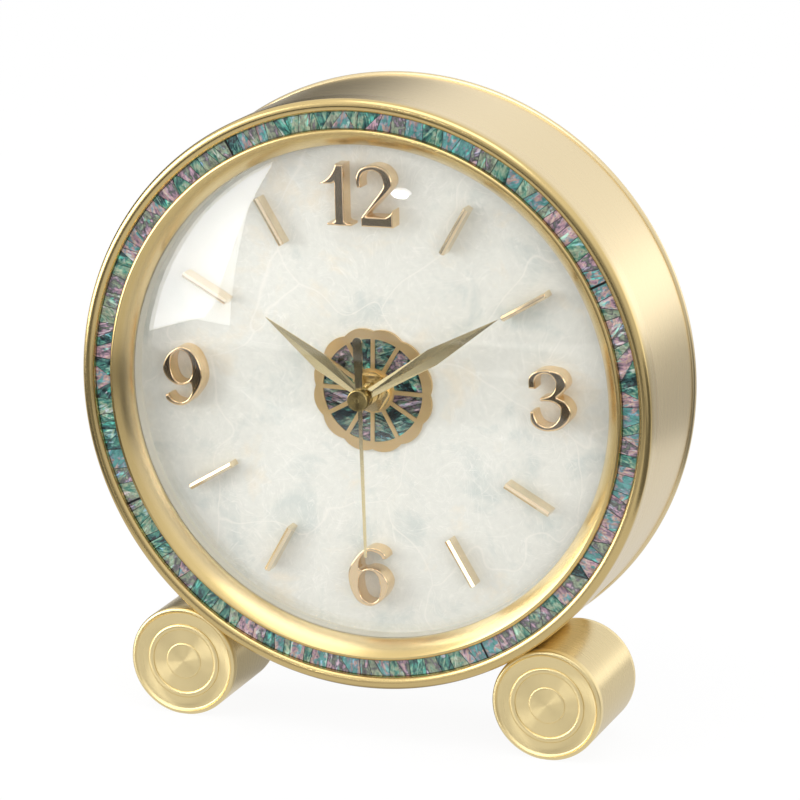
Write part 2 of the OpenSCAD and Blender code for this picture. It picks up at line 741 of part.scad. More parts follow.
knob_arbor_r = 1.2;
knob_gap = 0.3;
rotor_r = 2.2;
rotor_h = 2.8;
pivots = [
    [[0, 0], inter_wheel_y + wheel_t + boss_gap, second_arbor_d / 2],
    [third_at, third_wheel_y + wheel_t + boss_gap, train_arbor_r],
    [inter_at, inter_wheel_y + wheel_t + boss_gap, train_arbor_r],
    [rotor_at, rotor_y + rotor_h + boss_gap, train_arbor_r]];

module threaded_bush() {
    color([0.76, 0.62, 0.36]) difference() {
        rod(bush_front_y, move_y + move_wall, bush_d / 2);
        rod(bush_front_y - over, move_y + move_wall + over, hour_tube_d / 2 + run_gap);
    }
}

module hour_wheel() {
    tube_in_r = minute_arbor_d / 2 + run_gap;
    color([0.85, 0.72, 0.45]) difference() {
        union() {
            rod(hour_back_y - blade_t, hour_wheel_y + wheel_t, hour_tube_d / 2);
            slab(hour_wheel_y, hour_wheel_y + wheel_t) polygon(gear(hour_teeth, hour_module, hour_phase));
        }
        rod(hour_front_y - over, hour_wheel_y + wheel_t + over, tube_in_r);
    }
}

cannon_phase = minute_wheel_angle;
minute_phase = mesh_phase(minute_wheel_angle, cannon_phase, cannon_teeth, minute_teeth);
knob_phase = mesh_phase(knob_wheel_angle, minute_phase, minute_teeth, knob_teeth);
minute_pinion_phase = minute_wheel_angle;
hour_phase = mesh_phase(minute_wheel_angle + 180, minute_pinion_phase + 180,
                        minute_pinion_teeth, hour_teeth);
centre_phase = third_wheel_angle;
third_pinion_phase = mesh_phase(third_wheel_angle, centre_phase, centre_teeth, third_pinion_teeth);
third_phase = third_wheel_angle + 180;
second_pinion_phase = mesh_phase(third_wheel_angle + 180, third_phase, third_teeth, second_pinion_teeth);
second_phase = inter_wheel_angle;
inter_pinion_phase = mesh_phase(inter_wheel_angle, second_phase, second_teeth, inter_pinion_teeth);
inter_phase = rotor_wheel_angle;
rotor_phase = mesh_phase(rotor_wheel_angle, inter_phase, inter_teeth, rotor_teeth);

module pinion(wheel_y, teeth, m, phase, at = [0, 0])
    slab(wheel_y - pinion_over, wheel_y + wheel_t + pinion_over) translate(at)
        polygon(gear(teeth, m, phase));

cannon_hub_r = 1.2;

module cannon_pinion() {
    hub_end_y = centre_wheel_y + wheel_t + pinion_over;
    color([0.85, 0.72, 0.45]) difference() {
        union() {
            rod(minute_back_y - blade_t, minute_wheel_y, minute_arbor_d / 2);
            pinion(minute_wheel_y, cannon_teeth, minute_module, cannon_phase);
            rod(minute_wheel_y, hub_end_y, cannon_hub_r);
        }
        rod(minute_front_y - over, hub_end_y + over, second_arbor_d / 2 + run_gap);
    }
}

module minute_wheel() color([0.9, 0.9, 0.88]) difference() {
    union() {
        slab(minute_wheel_y, minute_wheel_y + wheel_t) translate(minute_at)
            polygon(gear(minute_teeth, minute_module, minute_phase));
        slab(hour_wheel_y - pinion_over, minute_wheel_y + wheel_t / 2) translate(minute_at)
            polygon(gear(minute_pinion_teeth, hour_module, minute_pinion_phase));
    }
    bore(minute_at, wheel_post_r + run_gap, hour_wheel_y, minute_wheel_y + wheel_t);
}

module setting_knob() {
    knob_y = move_rear_y + knob_gap;
    flutes = 24;
    flute_r = knob_d / 40;
    color([0.15, 0.15, 0.16]) {
        pinion(minute_wheel_y, knob_teeth, minute_module, knob_phase, knob_at);
        rod(minute_wheel_y, knob_y + knob_t / 2, knob_arbor_r, knob_at);
        slab(knob_y, knob_y + knob_t) translate(knob_at) difference() {
            circle(knob_d / 2);
            for (i = [0:flutes - 1]) rotate(i * 360 / flutes)
                translate([knob_d / 2, 0]) circle(flute_r);
        }
    }
}

module centre_wheel() color([0.9, 0.9, 0.88]) slab(centre_wheel_y, centre_wheel_y + wheel_t)
    difference() {
        polygon(gear(centre_teeth, centre_module, centre_phase));
        circle(cannon_hub_r + run_gap);
    }

module third_wheel() color([0.9, 0.9, 0.88]) {
    slab(third_wheel_y, third_wheel_y + wheel_t) translate(third_at)
        polygon(gear(third_teeth, third_module, third_phase));
    slab(centre_wheel_y - pinion_over, third_wheel_y + wheel_t / 2) translate(third_at)
        polygon(gear(third_pinion_teeth, centre_module, third_pinion_phase));
    rod(move_y + move_wall, pivots[1][1] + pivot_depth, train_arbor_r, third_at);
}

module seconds_wheel() color([0.9, 0.9, 0.88]) {
    slab(second_wheel_y, second_wheel_y + wheel_t) polygon(gear(second_teeth, second_module, second_phase));
    slab(third_wheel_y - pinion_over, second_wheel_y + wheel_t / 2)
        polygon(gear(second_pinion_teeth, third_module, second_pinion_phase));
    rod(cap_front_y + cap_t / 2 + fit, pivots[0][1] + pivot_depth, second_arbor_d / 2);
}

module intermediate_wheel() color([0.9, 0.9, 0.88]) {
    slab(inter_wheel_y, inter_wheel_y + wheel_t) translate(inter_at)
        polygon(gear(inter_teeth, inter_module, inter_phase));
    slab(second_wheel_y - pinion_over, inter_wheel_y + wheel_t / 2) translate(inter_at)
        polygon(gear(inter_pinion_teeth, second_module, inter_pinion_phase));
    rod(move_y + move_wall, pivots[2][1] + pivot_depth, train_arbor_r, inter_at);
}

module rotor() color([0.5, 0.5, 0.52]) {
    slab(inter_wheel_y - pinion_over, rotor_y + rotor_h / 2) translate(rotor_at)
        polygon(gear(rotor_teeth, inter_module, rotor_phase));
    rod(rotor_y, rotor_y + rotor_h, rotor_r, rotor_at);
    rod(move_y + move_wall, pivots[3][1] + pivot_depth, train_arbor_r, rotor_at);
}

stator_t = 0.8;
stator_y = rotor_y + rotor_h / 2 - stator_t / 2;
coil_half = 9.5;
leg_in = 10.5;
leg_out = 14;
yoke_w = 1.9;
air_gap = 0.4;
yoke_low = rotor_at[1] - rotor_r - yoke_w;
yoke_high = coil_z - coil_r - air_gap;
post_rise = 2.6;
stator_posts = [for (way = [-1, 1]) [way * (leg_in + leg_out) / 2, yoke_low + post_rise]];
core_h = 2;

module stator() color([0.6, 0.61, 0.63]) slab(stator_y, stator_y + stator_t) difference() {
    union() {
        between([-leg_out, yoke_low], [leg_out, yoke_high]);
        for (x = [-leg_out, leg_in]) between([x, yoke_low], [x + leg_out - leg_in, coil_z + core_h]);
    }
    translate(rotor_at) circle(rotor_r + air_gap);
}

module coil_core() color([0.62, 0.63, 0.65]) slab(stator_y + stator_t, stator_y + 2 * stator_t)
    between([-leg_out, coil_z - core_h / 2], [leg_out, coil_z + core_h / 2]);

module along_coil(x0, x1, z) translate([x0, stator_y + 1.5 * stator_t, axis_z + z])
    rotate([0, 90, 0]) linear_extrude(x1 - x0) children();

flange_t = 0.8;

module coil_bobbin() color([0.9, 0.9, 0.85]) difference() {
    union() {
        along_coil(-coil_half, coil_half, coil_z) circle(coil_r / 2);
        for (x = [-coil_half, coil_half - flange_t]) along_coil(x, x + flange_t, coil_z) circle(coil_r);
    }
    along_coil(-coil_half - over, coil_half + over, coil_z)
        square([core_h + 2 * fit, stator_t + 2 * fit], center = true);
}

module coil_winding() color([0.72, 0.42, 0.22])
    along_coil(-coil_half + flange_t + fit, coil_half - flange_t - fit, coil_z) difference() {
        circle(coil_r * 0.88);
        circle(coil_r / 2 + fit);
    }

pcb_t = 1;

module circuit_board() color([0.2, 0.4, 0.22])
    slab(move_y + board_depth, move_y + board_depth + pcb_t)
        between([board_posts[0][0] - post_r, board_posts[0][1] - post_r],
                [-leg_out - pcb_t, board_posts[1][1] + post_r]);

crystal_r = 1;
crystal_l = 6;

module quartz_crystal() color([0.75, 0.76, 0.78])
    translate([(board_posts[0][0] - leg_out) / 2, move_y + board_depth + pcb_t + crystal_r,
               axis_z + board_posts[0][1]]) cylinder(h = crystal_l, r = crystal_r);

module battery() color([0.2, 0.22, 0.25]) translate([-cell_l / 2, cell_y, axis_z + cell_z])
    rotate([0, 90, 0]) {
        cylinder(h = cell_l - cell_nub_l, r = cell_d / 2);
        cylinder(h = cell_l, r = cell_nub_r);
    }

// Folded spring strip between the battery's end and the bay's wall, open to the back
module contact(way) {
    wall_x = move_w / 2 - move_wall;
    leaf_x = cell_l / 2 + 2 * fit;
    fold_y = cell_y - contact_w / 2;
    color([0.78, 0.79, 0.8]) translate([0, 0, axis_z + cell_z - contact_w / 2])
        linear_extrude(contact_w) scale([way, 1]) difference() {
            between([leaf_x, fold_y], [wall_x, fold_y + contact_w]);
            between([leaf_x + contact_t, fold_y + contact_t],
                    [wall_x - contact_t, fold_y + contact_w + over]);
        }
}

module battery_plus_contact() contact(1);

module battery_minus_contact() contact(-1);

screw_angles = [45, 135, 225, 315];
head_t = 1.6;

module rear_cover() {
    out_r = drum_in_r - 4 * fit;
    color([0.1, 0.1, 0.11]) difference() {
        union() {
            rod(cover_y, cover_rear_y, out_r);
            slab(cover_y - well_depth, cover_y + cover_t / 2)
                rounded(well_w + 2 * cover_t, well_w + 2 * cover_t, 4 * cover_t);
        }
        slab(cover_y - well_depth - over, cover_rear_y + over) rounded(well_w, well_w, 3 * cover_t);
        for (a = screw_angles)
            bore(polar(screw_circle_r, a), screw_d / 2 + 2 * fit, cover_y, cover_rear_y);
    }
}

bracket_w = 12;
bracket_leg = 9;
bracket_t = 1.5;
bracket_edge = 3.6;

module cover_brackets() color([0.72, 0.62, 0.42]) difference() {
    intersection() {
        turned([
            [drum_in_r - fit, cover_y], [drum_in_r - fit, cover_y - bracket_leg],
            [drum_in_r - fit - bracket_t, cover_y - bracket_leg],
            [drum_in_r - fit - bracket_t, cover_y - bracket_t],
            [screw_circle_r - bracket_edge, cover_y - bracket_t],
            [screw_circle_r - bracket_edge, cover_y]]);
        slab(cover_y - bracket_leg - over, cover_y + over) for (a = screw_angles) rotate(a)
            translate([0, -bracket_w / 2]) square([case_r, bracket_w]);
    }
    for (a = screw_angles) bore(polar(screw_circle_r, a), screw_d / 2 + fit, cover_y - bracket_t, cover_y);
}

screw_l = 5;
slot_w = 0.7;

module cover_screws() color([0.8, 0.8, 0.8]) for (a = screw_angles) difference() {
    union() {
        rod(cover_rear_y, cover_rear_y + head_t, screw_d, polar(screw_circle_r, a));
        rod(cover_rear_y - screw_l, cover_rear_y + head_t / 2, screw_d / 2, polar(screw_circle_r, a));
    }
    slab(cover_rear_y + head_t / 2, cover_rear_y + head_t + over) translate(polar(screw_circle_r, a)) {
        square([screw_d, slot_w], center = true);
        square([slot_w, screw_d], center = true);
    }
}

foot_y = face_y + foot_set_back;
foot_rear_y = foot_y + foot_l;
foot_bore_r = foot_r - foot_wall;
cap_spigot_l = 2.5;
nut_bar_t = 2.4;
nut_bar_w = 10;
foot_screw_shares = [0.575, 0.77];
foot_head_share = 0.8;
nut_bar_edge_share = 0.7;
foot_screw_ys = [for (s = foot_screw_shares) foot_y + s * foot_l];
nut_bar_ys = [foot_screw_ys[0] - nut_bar_edge_share * foot_screw_d,
              foot_screw_ys[1] + nut_bar_edge_share * foot_screw_d];

// Turns a piece drawn along z from the drum's axis outwards through a foot
module foot_screw_line(way, y) translate([0, y, axis_z]) rotate([0, 180 - way * foot_tilt, 0]) children();

module at_foot(way, y) translate([way * foot_x, y, foot_z]) rotate([90, 0, 0]) children();

module foot_slab(way, y0, y1) at_foot(way, y1) linear_extrude(y1 - y0) children();

// Room for the drum above and for the table below
module foot_cuts(way) {
    y0 = foot_y - over;
    y1 = foot_rear_y + over;
    rod(y0, y1, case_r + fit);
    translate([way * foot_x - foot_r, y0, -foot_r]) cube([foot_d, y1 - y0, foot_r]);
}

module foot_tube(way) color([0.85, 0.75, 0.5]) difference() {
    foot_slab(way, foot_y + foot_cap_t, foot_rear_y - foot_cap_t) difference() {
        circle(foot_r);
        circle(foot_bore_r);
    }
    foot_cuts(way);
    for (y = foot_screw_ys)
        foot_screw_line(way, y) cylinder(h = foot_reach, r = foot_screw_d / 2 + fit);
}

module foot_tube_left() foot_tube(-1);

module foot_tube_right() foot_tube(1);

// Turned face of a cap, from its edge to its middle: [share of radius, height above the flat]
cap_edge_r = 1.2;
cap_face_drop = 0.9;
cap_ring_share = 0.63;
cap_ring_r = 0.9;
cap_disc_share = 0.33;
cap_disc_t = 0.35;

// Cap drawn with its face towards +z, its back on z = 0
module cap_body() rotate_extrude() polygon(concat(
    [[0, -cap_spigot_l], [foot_bore_r - fit, -cap_spigot_l], [foot_bore_r - fit, 0], [foot_r, 0]],
    [for (a = [0:22.5:90]) [foot_r - cap_edge_r + cap_edge_r * cos(a),
                            foot_cap_t - cap_edge_r + cap_edge_r * sin(a)]],
    [[foot_r - 1.5 * cap_edge_r, foot_cap_t - cap_face_drop],
     [cap_ring_share * foot_r + cap_ring_r, foot_cap_t - cap_face_drop]],
    [for (a = [30:30:150]) [cap_ring_share * foot_r + cap_ring_r * cos(a),
                            foot_cap_t - cap_face_drop + cap_ring_r / 2 * sin(a)]],
    [[cap_ring_share * foot_r - cap_ring_r, foot_cap_t - cap_face_drop],
     [cap_disc_share * foot_r, foot_cap_t - cap_face_drop],
     [cap_disc_share * foot_r, foot_cap_t - cap_face_drop + cap_disc_t],
     [0, foot_cap_t - cap_face_drop + cap_disc_t]]));

module foot_front_caps() color([0.86, 0.77, 0.52]) for (way = [-1, 1]) difference() {
    at_foot(way, foot_y + foot_cap_t) cap_body();
    foot_cuts(way);
}

module foot_rear_caps() color([0.86, 0.77, 0.52]) for (way = [-1, 1]) difference() {
    at_foot(way, foot_rear_y - foot_cap_t) rotate([180, 0, 0]) cap_body();
    foot_cuts(way);
}

foot_head_t = 2.2;
hex_share = 0.4;

module foot_screws() color([0.8, 0.8, 0.8]) for (way = [-1, 1]) for (y = foot_screw_ys)
    foot_screw_line(way, y) difference() {
        union() {
            translate([0, 0, drum_in_r - foot_head_t - 2 * fit])
                cylinder(h = foot_head_t, r = foot_screw_d * foot_head_share);
            translate([0, 0, drum_in_r - foot_head_t])
                cylinder(h = foot_head_t + drum_wall + foot_wall + nut_bar_t, r = foot_screw_d / 2);
        }
        translate([0, 0, drum_in_r - foot_head_t - 2 * fit - over])
            cylinder(h = foot_head_t / 2 + over, r = foot_screw_d * hex_share, $fn = 6);
    }

module foot_nut_bars() color([0.7, 0.7, 0.72]) for (way = [-1, 1]) difference() {
    intersection() {
        foot_slab(way, nut_bar_ys[0], nut_bar_ys[1]) circle(foot_bore_r - fit);
        translate([0, nut_bar_ys[0], axis_z]) rotate([0, 180 - way * foot_tilt, 0])
            translate([-nut_bar_w / 2, 0, foot_reach - foot_bore_r])
                cube([nut_bar_w, nut_bar_ys[1] - nut_bar_ys[0], nut_bar_t]);
    }
    for (y = foot_screw_ys)
        foot_screw_line(way, y) cylinder(h = foot_reach, r = foot_screw_d / 2 + fit);
}

case_drum();
bezel();
shell_inlay();
lens();
lens_gasket();
rehaut();
dial_board();
dial_veneer();
numeral_12();
numeral_3();
numeral_6();
numeral_9();
hour_bars();
rosette();
rosette_shell();
dial_washer();
dial_nut();
rubber_washer();
hour_hand();
minute_hand();
second_hand();
second_cap();
movement_case();
movement_back();
threaded_bush();
hour_wheel();
cannon_pinion();
minute_wheel();
setting_knob();
centre_wheel();
third_wheel();
seconds_wheel();
intermediate_wheel();
rotor();
stator();
coil_core();
coil_bobbin();
coil_winding();
circuit_board();
quartz_crystal();
battery();
battery_plus_contact();
battery_minus_contact();
rear_cover();
cover_screws();
cover_brackets();
foot_tube_left();
foot_tube_right();
foot_front_caps();
foot_rear_caps();
foot_screws();
foot_nut_bars();
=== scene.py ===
import json
import math
import bmesh
import bpy
import numpy as np
from mathutils import Matrix, Vector


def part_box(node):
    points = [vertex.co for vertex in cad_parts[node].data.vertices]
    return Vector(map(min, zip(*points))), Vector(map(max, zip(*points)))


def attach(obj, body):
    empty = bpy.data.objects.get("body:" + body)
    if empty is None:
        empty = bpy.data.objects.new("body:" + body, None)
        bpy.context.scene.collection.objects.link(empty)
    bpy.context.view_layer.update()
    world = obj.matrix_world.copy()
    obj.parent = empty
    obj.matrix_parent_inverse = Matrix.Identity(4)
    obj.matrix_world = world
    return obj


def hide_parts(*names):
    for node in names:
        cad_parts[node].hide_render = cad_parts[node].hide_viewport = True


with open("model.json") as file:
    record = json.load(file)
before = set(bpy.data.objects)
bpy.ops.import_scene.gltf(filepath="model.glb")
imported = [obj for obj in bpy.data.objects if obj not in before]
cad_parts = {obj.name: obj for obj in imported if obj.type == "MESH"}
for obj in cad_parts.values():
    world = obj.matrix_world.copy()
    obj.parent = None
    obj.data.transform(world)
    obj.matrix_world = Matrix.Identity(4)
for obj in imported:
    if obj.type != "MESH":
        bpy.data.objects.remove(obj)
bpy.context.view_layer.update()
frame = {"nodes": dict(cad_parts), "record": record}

nodes = frame["nodes"]
mm = 0.001
noiseRange = (0.3, 0.7)  # where nearly all of a noise texture's values lie

# Where the frame puts things, in metres
drumLow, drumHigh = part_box("case_drum")
bezelLow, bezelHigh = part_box("bezel")
axisZ = (drumLow[2] + drumHigh[2]) / 2
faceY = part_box("shell_inlay")[0][1]  # face of the shell inlay
caseR = (bezelHigh[0] - bezelLow[0]) / 2


def hexColour(text):  # sRGB hex to linear RGBA
    parts = np.array([int(text[i:i + 2], 16) for i in (0, 2, 4)]) / 255
    linear = np.where(parts <= 0.04045, parts / 12.92, ((parts + 0.055) / 1.055) ** 2.4)
    return (*linear.tolist(), 1.0)


def addObject(name, data):
    obj = bpy.data.objects.new(name, data)
    bpy.context.scene.collection.objects.link(obj)
    return obj


# Each input is a fixed value, a socket, or a node, which stands for its first output
def setInputs(tree, node, inputs):
    for key, value in inputs.items():
        if isinstance(value, bpy.types.Node):
            value = value.outputs[0]
        if isinstance(value, bpy.types.NodeSocket):
            tree.links.new(value, node.inputs[key])
        else:
            node.inputs[key].default_value = value


# Adds a shader node of a kind; settings are its own properties
def addNode(tree, kind, inputs=None, **settings):
    node = tree.nodes.new("ShaderNode" + kind)
    for key, value in settings.items():
        setattr(node, key, value)
    setInputs(tree, node, inputs or {})
    return node


# Principled surface with fixed values; more holds further sockets by name, with _ for spaces
def newMaterial(name, colour, metallic, roughness, **more):
    material = bpy.data.materials.new(name)
    material.use_nodes = True
    tree = material.node_tree
    shader = tree.nodes["Principled BSDF"]
    setInputs(tree, shader, {"Base Color": hexColour(colour), "Metallic": metallic, "Roughness": roughness})
    setInputs(tree, shader, {key.replace("_", " "): value for key, value in more.items()})
    return material, tree, shader


# Sets the stops of a colour ramp, each as (place, hex colour or level of white)
def setStops(node, stops):
    band = node.color_ramp
    while len(band.elements) < len(stops):
        band.elements.new(0.5)
    for element, (place, colour) in zip(band.elements, stops):
        element.position = place
        element.color = hexColour(colour) if isinstance(colour, str) else (colour, colour, colour, 1)
    return node


# Object coordinates in millimetres from the dial's centre, then stretched by scale
def centredCoordinates(tree, scale=(1, 1, 1)):
    place = addNode(tree, "TexCoord").outputs["Object"]
    factor = [s / mm for s in scale]
    shift = (0, 0, -axisZ * factor[2])
    return addNode(tree, "Mapping", {"Vector": place, "Scale": factor, "Location": shift})


# Distance from the axis (cx, cz) and depth y, in stretched millimetres, as a vector for concentric lines
def concentricCoordinates(tree, axis, across, deep):
    place = addNode(tree, "TexCoord").outputs["Object"]
    centred = addNode(tree, "VectorMath", {0: place, 1: (-axis[0], 0, -axis[1])}, operation="ADD")
    parts = addNode(tree, "SeparateXYZ", {0: centred})
    flat = addNode(tree, "CombineXYZ", {0: parts.outputs["X"], 2: parts.outputs["Z"]})
    radius = addNode(tree, "VectorMath", {0: flat}, operation="LENGTH").outputs["Value"]
    out = addNode(tree, "Math", {0: radius, 1: across / mm}, operation="MULTIPLY")
    depth = addNode(tree, "Math", {0: parts.outputs["Y"], 1: deep / mm}, operation="MULTIPLY")
    return addNode(tree, "CombineXYZ", {0: out, 1: depth})


# Worked surface: noise drawn out along the tool's path varies the roughness by spread and raises fine lines,
# height millimetres high. Their number per millimetre is given along x, y and z, or out from an axis and
# along it. Where the surface is anisotropic, highlights stretch across lines that run along u.
def workedSurface(name, colour, roughness, lines, spread, height, metallic=1, axis=None, anisotropic=0.0):
    material, tree, shader = newMaterial(name, colour, metallic, roughness, Anisotropic=anisotropic)
    place = concentricCoordinates(tree, axis, *lines) if axis else centredCoordinates(tree, lines)
    noise = addNode(tree, "TexNoise", {"Vector": place, "Scale": 1.0, "Detail": 3.0, "Roughness": 0.6})
    low, high = noiseRange
    level = addNode(tree, "MapRange", {
        0: noise, 1: low, 2: high, 3: roughness - spread, 4: roughness + spread})
    bump = addNode(tree, "Bump", {"Strength": 1.0, "Distance": height * mm, "Height": noise})
    setInputs(tree, shader, {"Roughness": level, "Normal": bump})
    if anisotropic:
        tangent = addNode(tree, "Tangent", direction_type="UV_MAP", uv_map="turned")
        setInputs(tree, shader, {"Tangent": tangent})
    return material


def paint(name, material):
    obj = nodes[name]
    obj.data.materials.clear()
    obj.data.materials.append(material)


def towards(azimuth, elevation):  # 0 is the front, positive is the clock's right as seen
    a, e = math.radians(azimuth), math.radians(elevation)
    return Vector((math.sin(a) * math.cos(e), -math.cos(a) * math.cos(e), math.sin(e)))


# Camera, in the place that the photograph was taken from: degrees, millimetres, and focal length in pixels
cameraAt = {
    "azimuth": 20.317, "elevation": 14.844, "roll": 0.185, "distance": 1218.741,
    "focal": 4124.687, "imageSize": 800, "right": 11.493, "up": -0.475, "sensor": 36.0, "clipStart": 0.05,
}


def makeCamera(p):
    back = towards(p["azimuth"], p["elevation"])
    a, r = math.radians(p["azimuth"]), math.radians(p["roll"])
    right = Vector((math.cos(a), math.sin(a), 0))
    up = back.cross(right)
    target = Vector((0, faceY, axisZ)) + (right * p["right"] + up * p["up"]) * mm
    place = target + back * p["distance"] * mm
    side = right * math.cos(r) + up * math.sin(r)
    top = up * math.cos(r) - right * math.sin(r)
    data = bpy.data.cameras.new("studioCamera")
    data.sensor_fit = "HORIZONTAL"
    data.sensor_width = p["sensor"]
    data.lens = p["focal"] / p["imageSize"] * p["sensor"]
    data.clip_start = p["clipStart"]
    camera = addObject("studioCamera", data)
    camera.matrix_world = Matrix((
        (side.x, top.x, back.x, place.x), (side.y, top.y, back.y, place.y),
        (side.z, top.z, back.z, place.z), (0, 0, 0, 1)))
    bpy.context.scene.camera = camera


makeCamera(cameraAt)
print("camera placed")


# Studio: white floor and surroundings with soft lamps, and what only polished metal and glass mirror: dark
# places on the floor, cards, and a sky that is brighter and darker by direction. Sizes are metres.
studio = {
    "floorSize": 6.0, "floorColour": "FFFFFF", "whiteShare": 0.92, "floorMirrored": 0.78, "patchCore": 0.8,
    "patches": (  # middle, half widths, brightness
        ((0.0, -1.6), (0.6, 0.8), 0.12),
        ((-0.2, -0.61), (0.5, 0.32), 0.04),
        ((-0.46, -0.16), (0.34, 0.2), 0.08),
        # painted shade: the clock's shadow on the floor under the drum, between its feet, as the feet mirror
        # it
        ((0.0, 0.05), (0.06, 0.08), 0.42),
    ),
    "skyTop": 1.0, "skyPeak": 1.6, "skyBehind": (0.1, 0.6), "skyAbove": (0.2, 0.7),
    "skyFront": (  # azimuth, brightness
        (-120, 0.2), (-90, 0.3), (-70, 0.8), (-50, 1.0), (-34, 1.0), (-22, 0.6), (-10, 0.36), (20, 0.36),
        (40, 0.7), (70, 0.8), (120, 0.7),
    ),
    "skyBack": (  # angle round the view to the back, 0 is up and 90 is the clock's right; brightness
        (-100, 0.06), (-66, 0.08), (-54, 0.36), (-40, 0.94), (-26, 1.0), (16, 0.92), (36, 0.98), (48, 1.0),
        (60, 1.12), (74, 1.6), (90, 1.45), (102, 1.05), (180, 0.8),
    ),
    "cards": (  # name, brightness, corners
        ("rightBright", 0.6, ((0.42, -0.6, 0), (0.42, -0.2, 0), (0.42, -0.2, 0.14), (0.42, -0.6, 0.14))),
        ("rightCard", 0.12, ((0.42, -0.2, 0), (0.42, 0.12, 0), (0.42, 0.12, 0.14), (0.42, -0.2, 0.14))),
        ("rightStrip", 0.16, (
            (0.16, -0.6, 0.001), (0.42, -0.6, 0.001), (0.42, 0.12, 0.001), (0.2, 0.12, 0.001))),
        ("backCard", 0.44, ((-0.1, 0.29, 0.001), (1.1, 0.29, 0.001), (1.1, 1.4, 0.001), (-0.1, 1.4, 0.001))),
        ("windowPane", 5.0, (
            (-0.5, -0.22, 0.042), (-0.5, -0.41, 0.08), (-0.5, -0.449, 0.116), (-0.5, -0.513, 0.327),
            (-0.5, -0.562, 0.458), (-0.5, -0.574, 0.632), (-0.5, -0.106, 0.431), (-0.5, -0.057, 0.075))),
    ),
    "lamps": (  # name, azimuth, elevation, distance, width, height, radiance, shape, whether metal mirrors it
        ("windowLight", -57, 10, 1.0, 0.42, 0.5, 4.2, "RECTANGLE", False),
        ("fillLight", 42, 12, 1.2, 0.6, 0.5, 3.2, "RECTANGLE", False),
        ("smallLamp", -13.9, 23.5, 1.32, 0.078, 0.034, 30.0, "ELLIPSE", True),
        ("topBox", 10, 75, 1.4, 1.2, 0.8, 1.6, "RECTANGLE", True),
    ),
}


def addSheet(name, corners, material):
    mesh = bpy.data.meshes.new(name)
    mesh.from_pydata(corners, [], [range(len(corners))])
    mesh.materials.append(material)
    return addObject(name, mesh)


# The camera sees the floor as nearly plain white with a faint shadow. Polished metal sees it shine evenly,
# but for soft dark places: ellipses that fade out over their rims.
def makeFloor(p):
    size = p["floorSize"] / 2
    corners = [(-size, -size, 0), (size, -size, 0), (size, size, 0), (-size, size, 0)]
    material, tree, shader = newMaterial("paper sweep", p["floorColour"], 0, 0.9, Specular_IOR_Level=0.0)
    light = addNode(tree, "LightPath")
    glossy = light.outputs["Is Glossy Ray"]
    seen = addNode(tree, "Math", {0: light.outputs["Is Camera Ray"], 1: glossy}, operation="MAXIMUM")
    seen = addNode(tree, "Math", {0: seen, 1: light.outputs["Is Transmission Ray"]}, operation="MAXIMUM")
    plain = addNode(tree, "MapRange", {0: glossy, 3: p["whiteShare"], 4: 1})
    share = addNode(tree, "Math", {0: seen, 1: plain}, operation="MULTIPLY")
    place = addNode(tree, "TexCoord").outputs["Object"]
    mirrored = p["floorMirrored"]
    for (x, y), (wide, deep), dark in p["patches"]:
        centred = addNode(tree, "Mapping", {
            "Vector": place, "Scale": (1 / wide, 1 / deep, 1), "Location": (-x / wide, -y / deep, 0)})
        reach = addNode(tree, "VectorMath", {0: centred}, operation="LENGTH").outputs["Value"]
        mirrored = addNode(tree, "MapRange", {
            0: reach, 1: p["patchCore"], 2: 1.0, 3: dark, 4: mirrored}, interpolation_type="SMOOTHSTEP")
    brightness = addNode(tree, "Mix", {"Factor": glossy, "A": 1.0, "B": mirrored}, data_type="FLOAT")
    white = addNode(tree, "Emission", {"Color": (1, 1, 1, 1), "Strength": brightness})
    mix = addNode(tree, "MixShader", {0: share, 1: shader, 2: white})
    setInputs(tree, tree.nodes["Material Output"], {0: mix})
    floor = addSheet("floor", corners, material)


# Cards that shine evenly, seen only in polished metal and glass
def makeCards(p):
    for name, brightness, corners in p["cards"]:
        material, tree, shader = newMaterial("grey card", "000000", 0, 1, Specular_IOR_Level=0.0)
        setInputs(tree, shader, {"Emission Color": (1, 1, 1, 1), "Emission Strength": brightness})
        card = addSheet(name, corners, material)
        card.visible_camera = card.visible_diffuse = card.visible_shadow = False


# Brightness by the angle atan2(across, along), from stops in degrees. A ramp holds values up to 1, so the
# stops go in as shares of the peak and are multiplied by it again.
def brightnessRound(tree, across, along, stops, peak):
    angle = addNode(tree, "Math", {0: across, 1: along}, operation="ARCTAN2")
    turn = addNode(tree, "MapRange", {0: angle, 1: -math.pi, 2: math.pi, 3: 0, 4: 1})
    shares = addNode(tree, "ValToRGB", {0: turn})
    shares.color_ramp.interpolation = "EASE"
    setStops(shares, [((degrees + 180) / 360, level / peak) for degrees, level in stops])
    return addNode(tree, "Math", {0: shares, 1: peak}, operation="MULTIPLY")


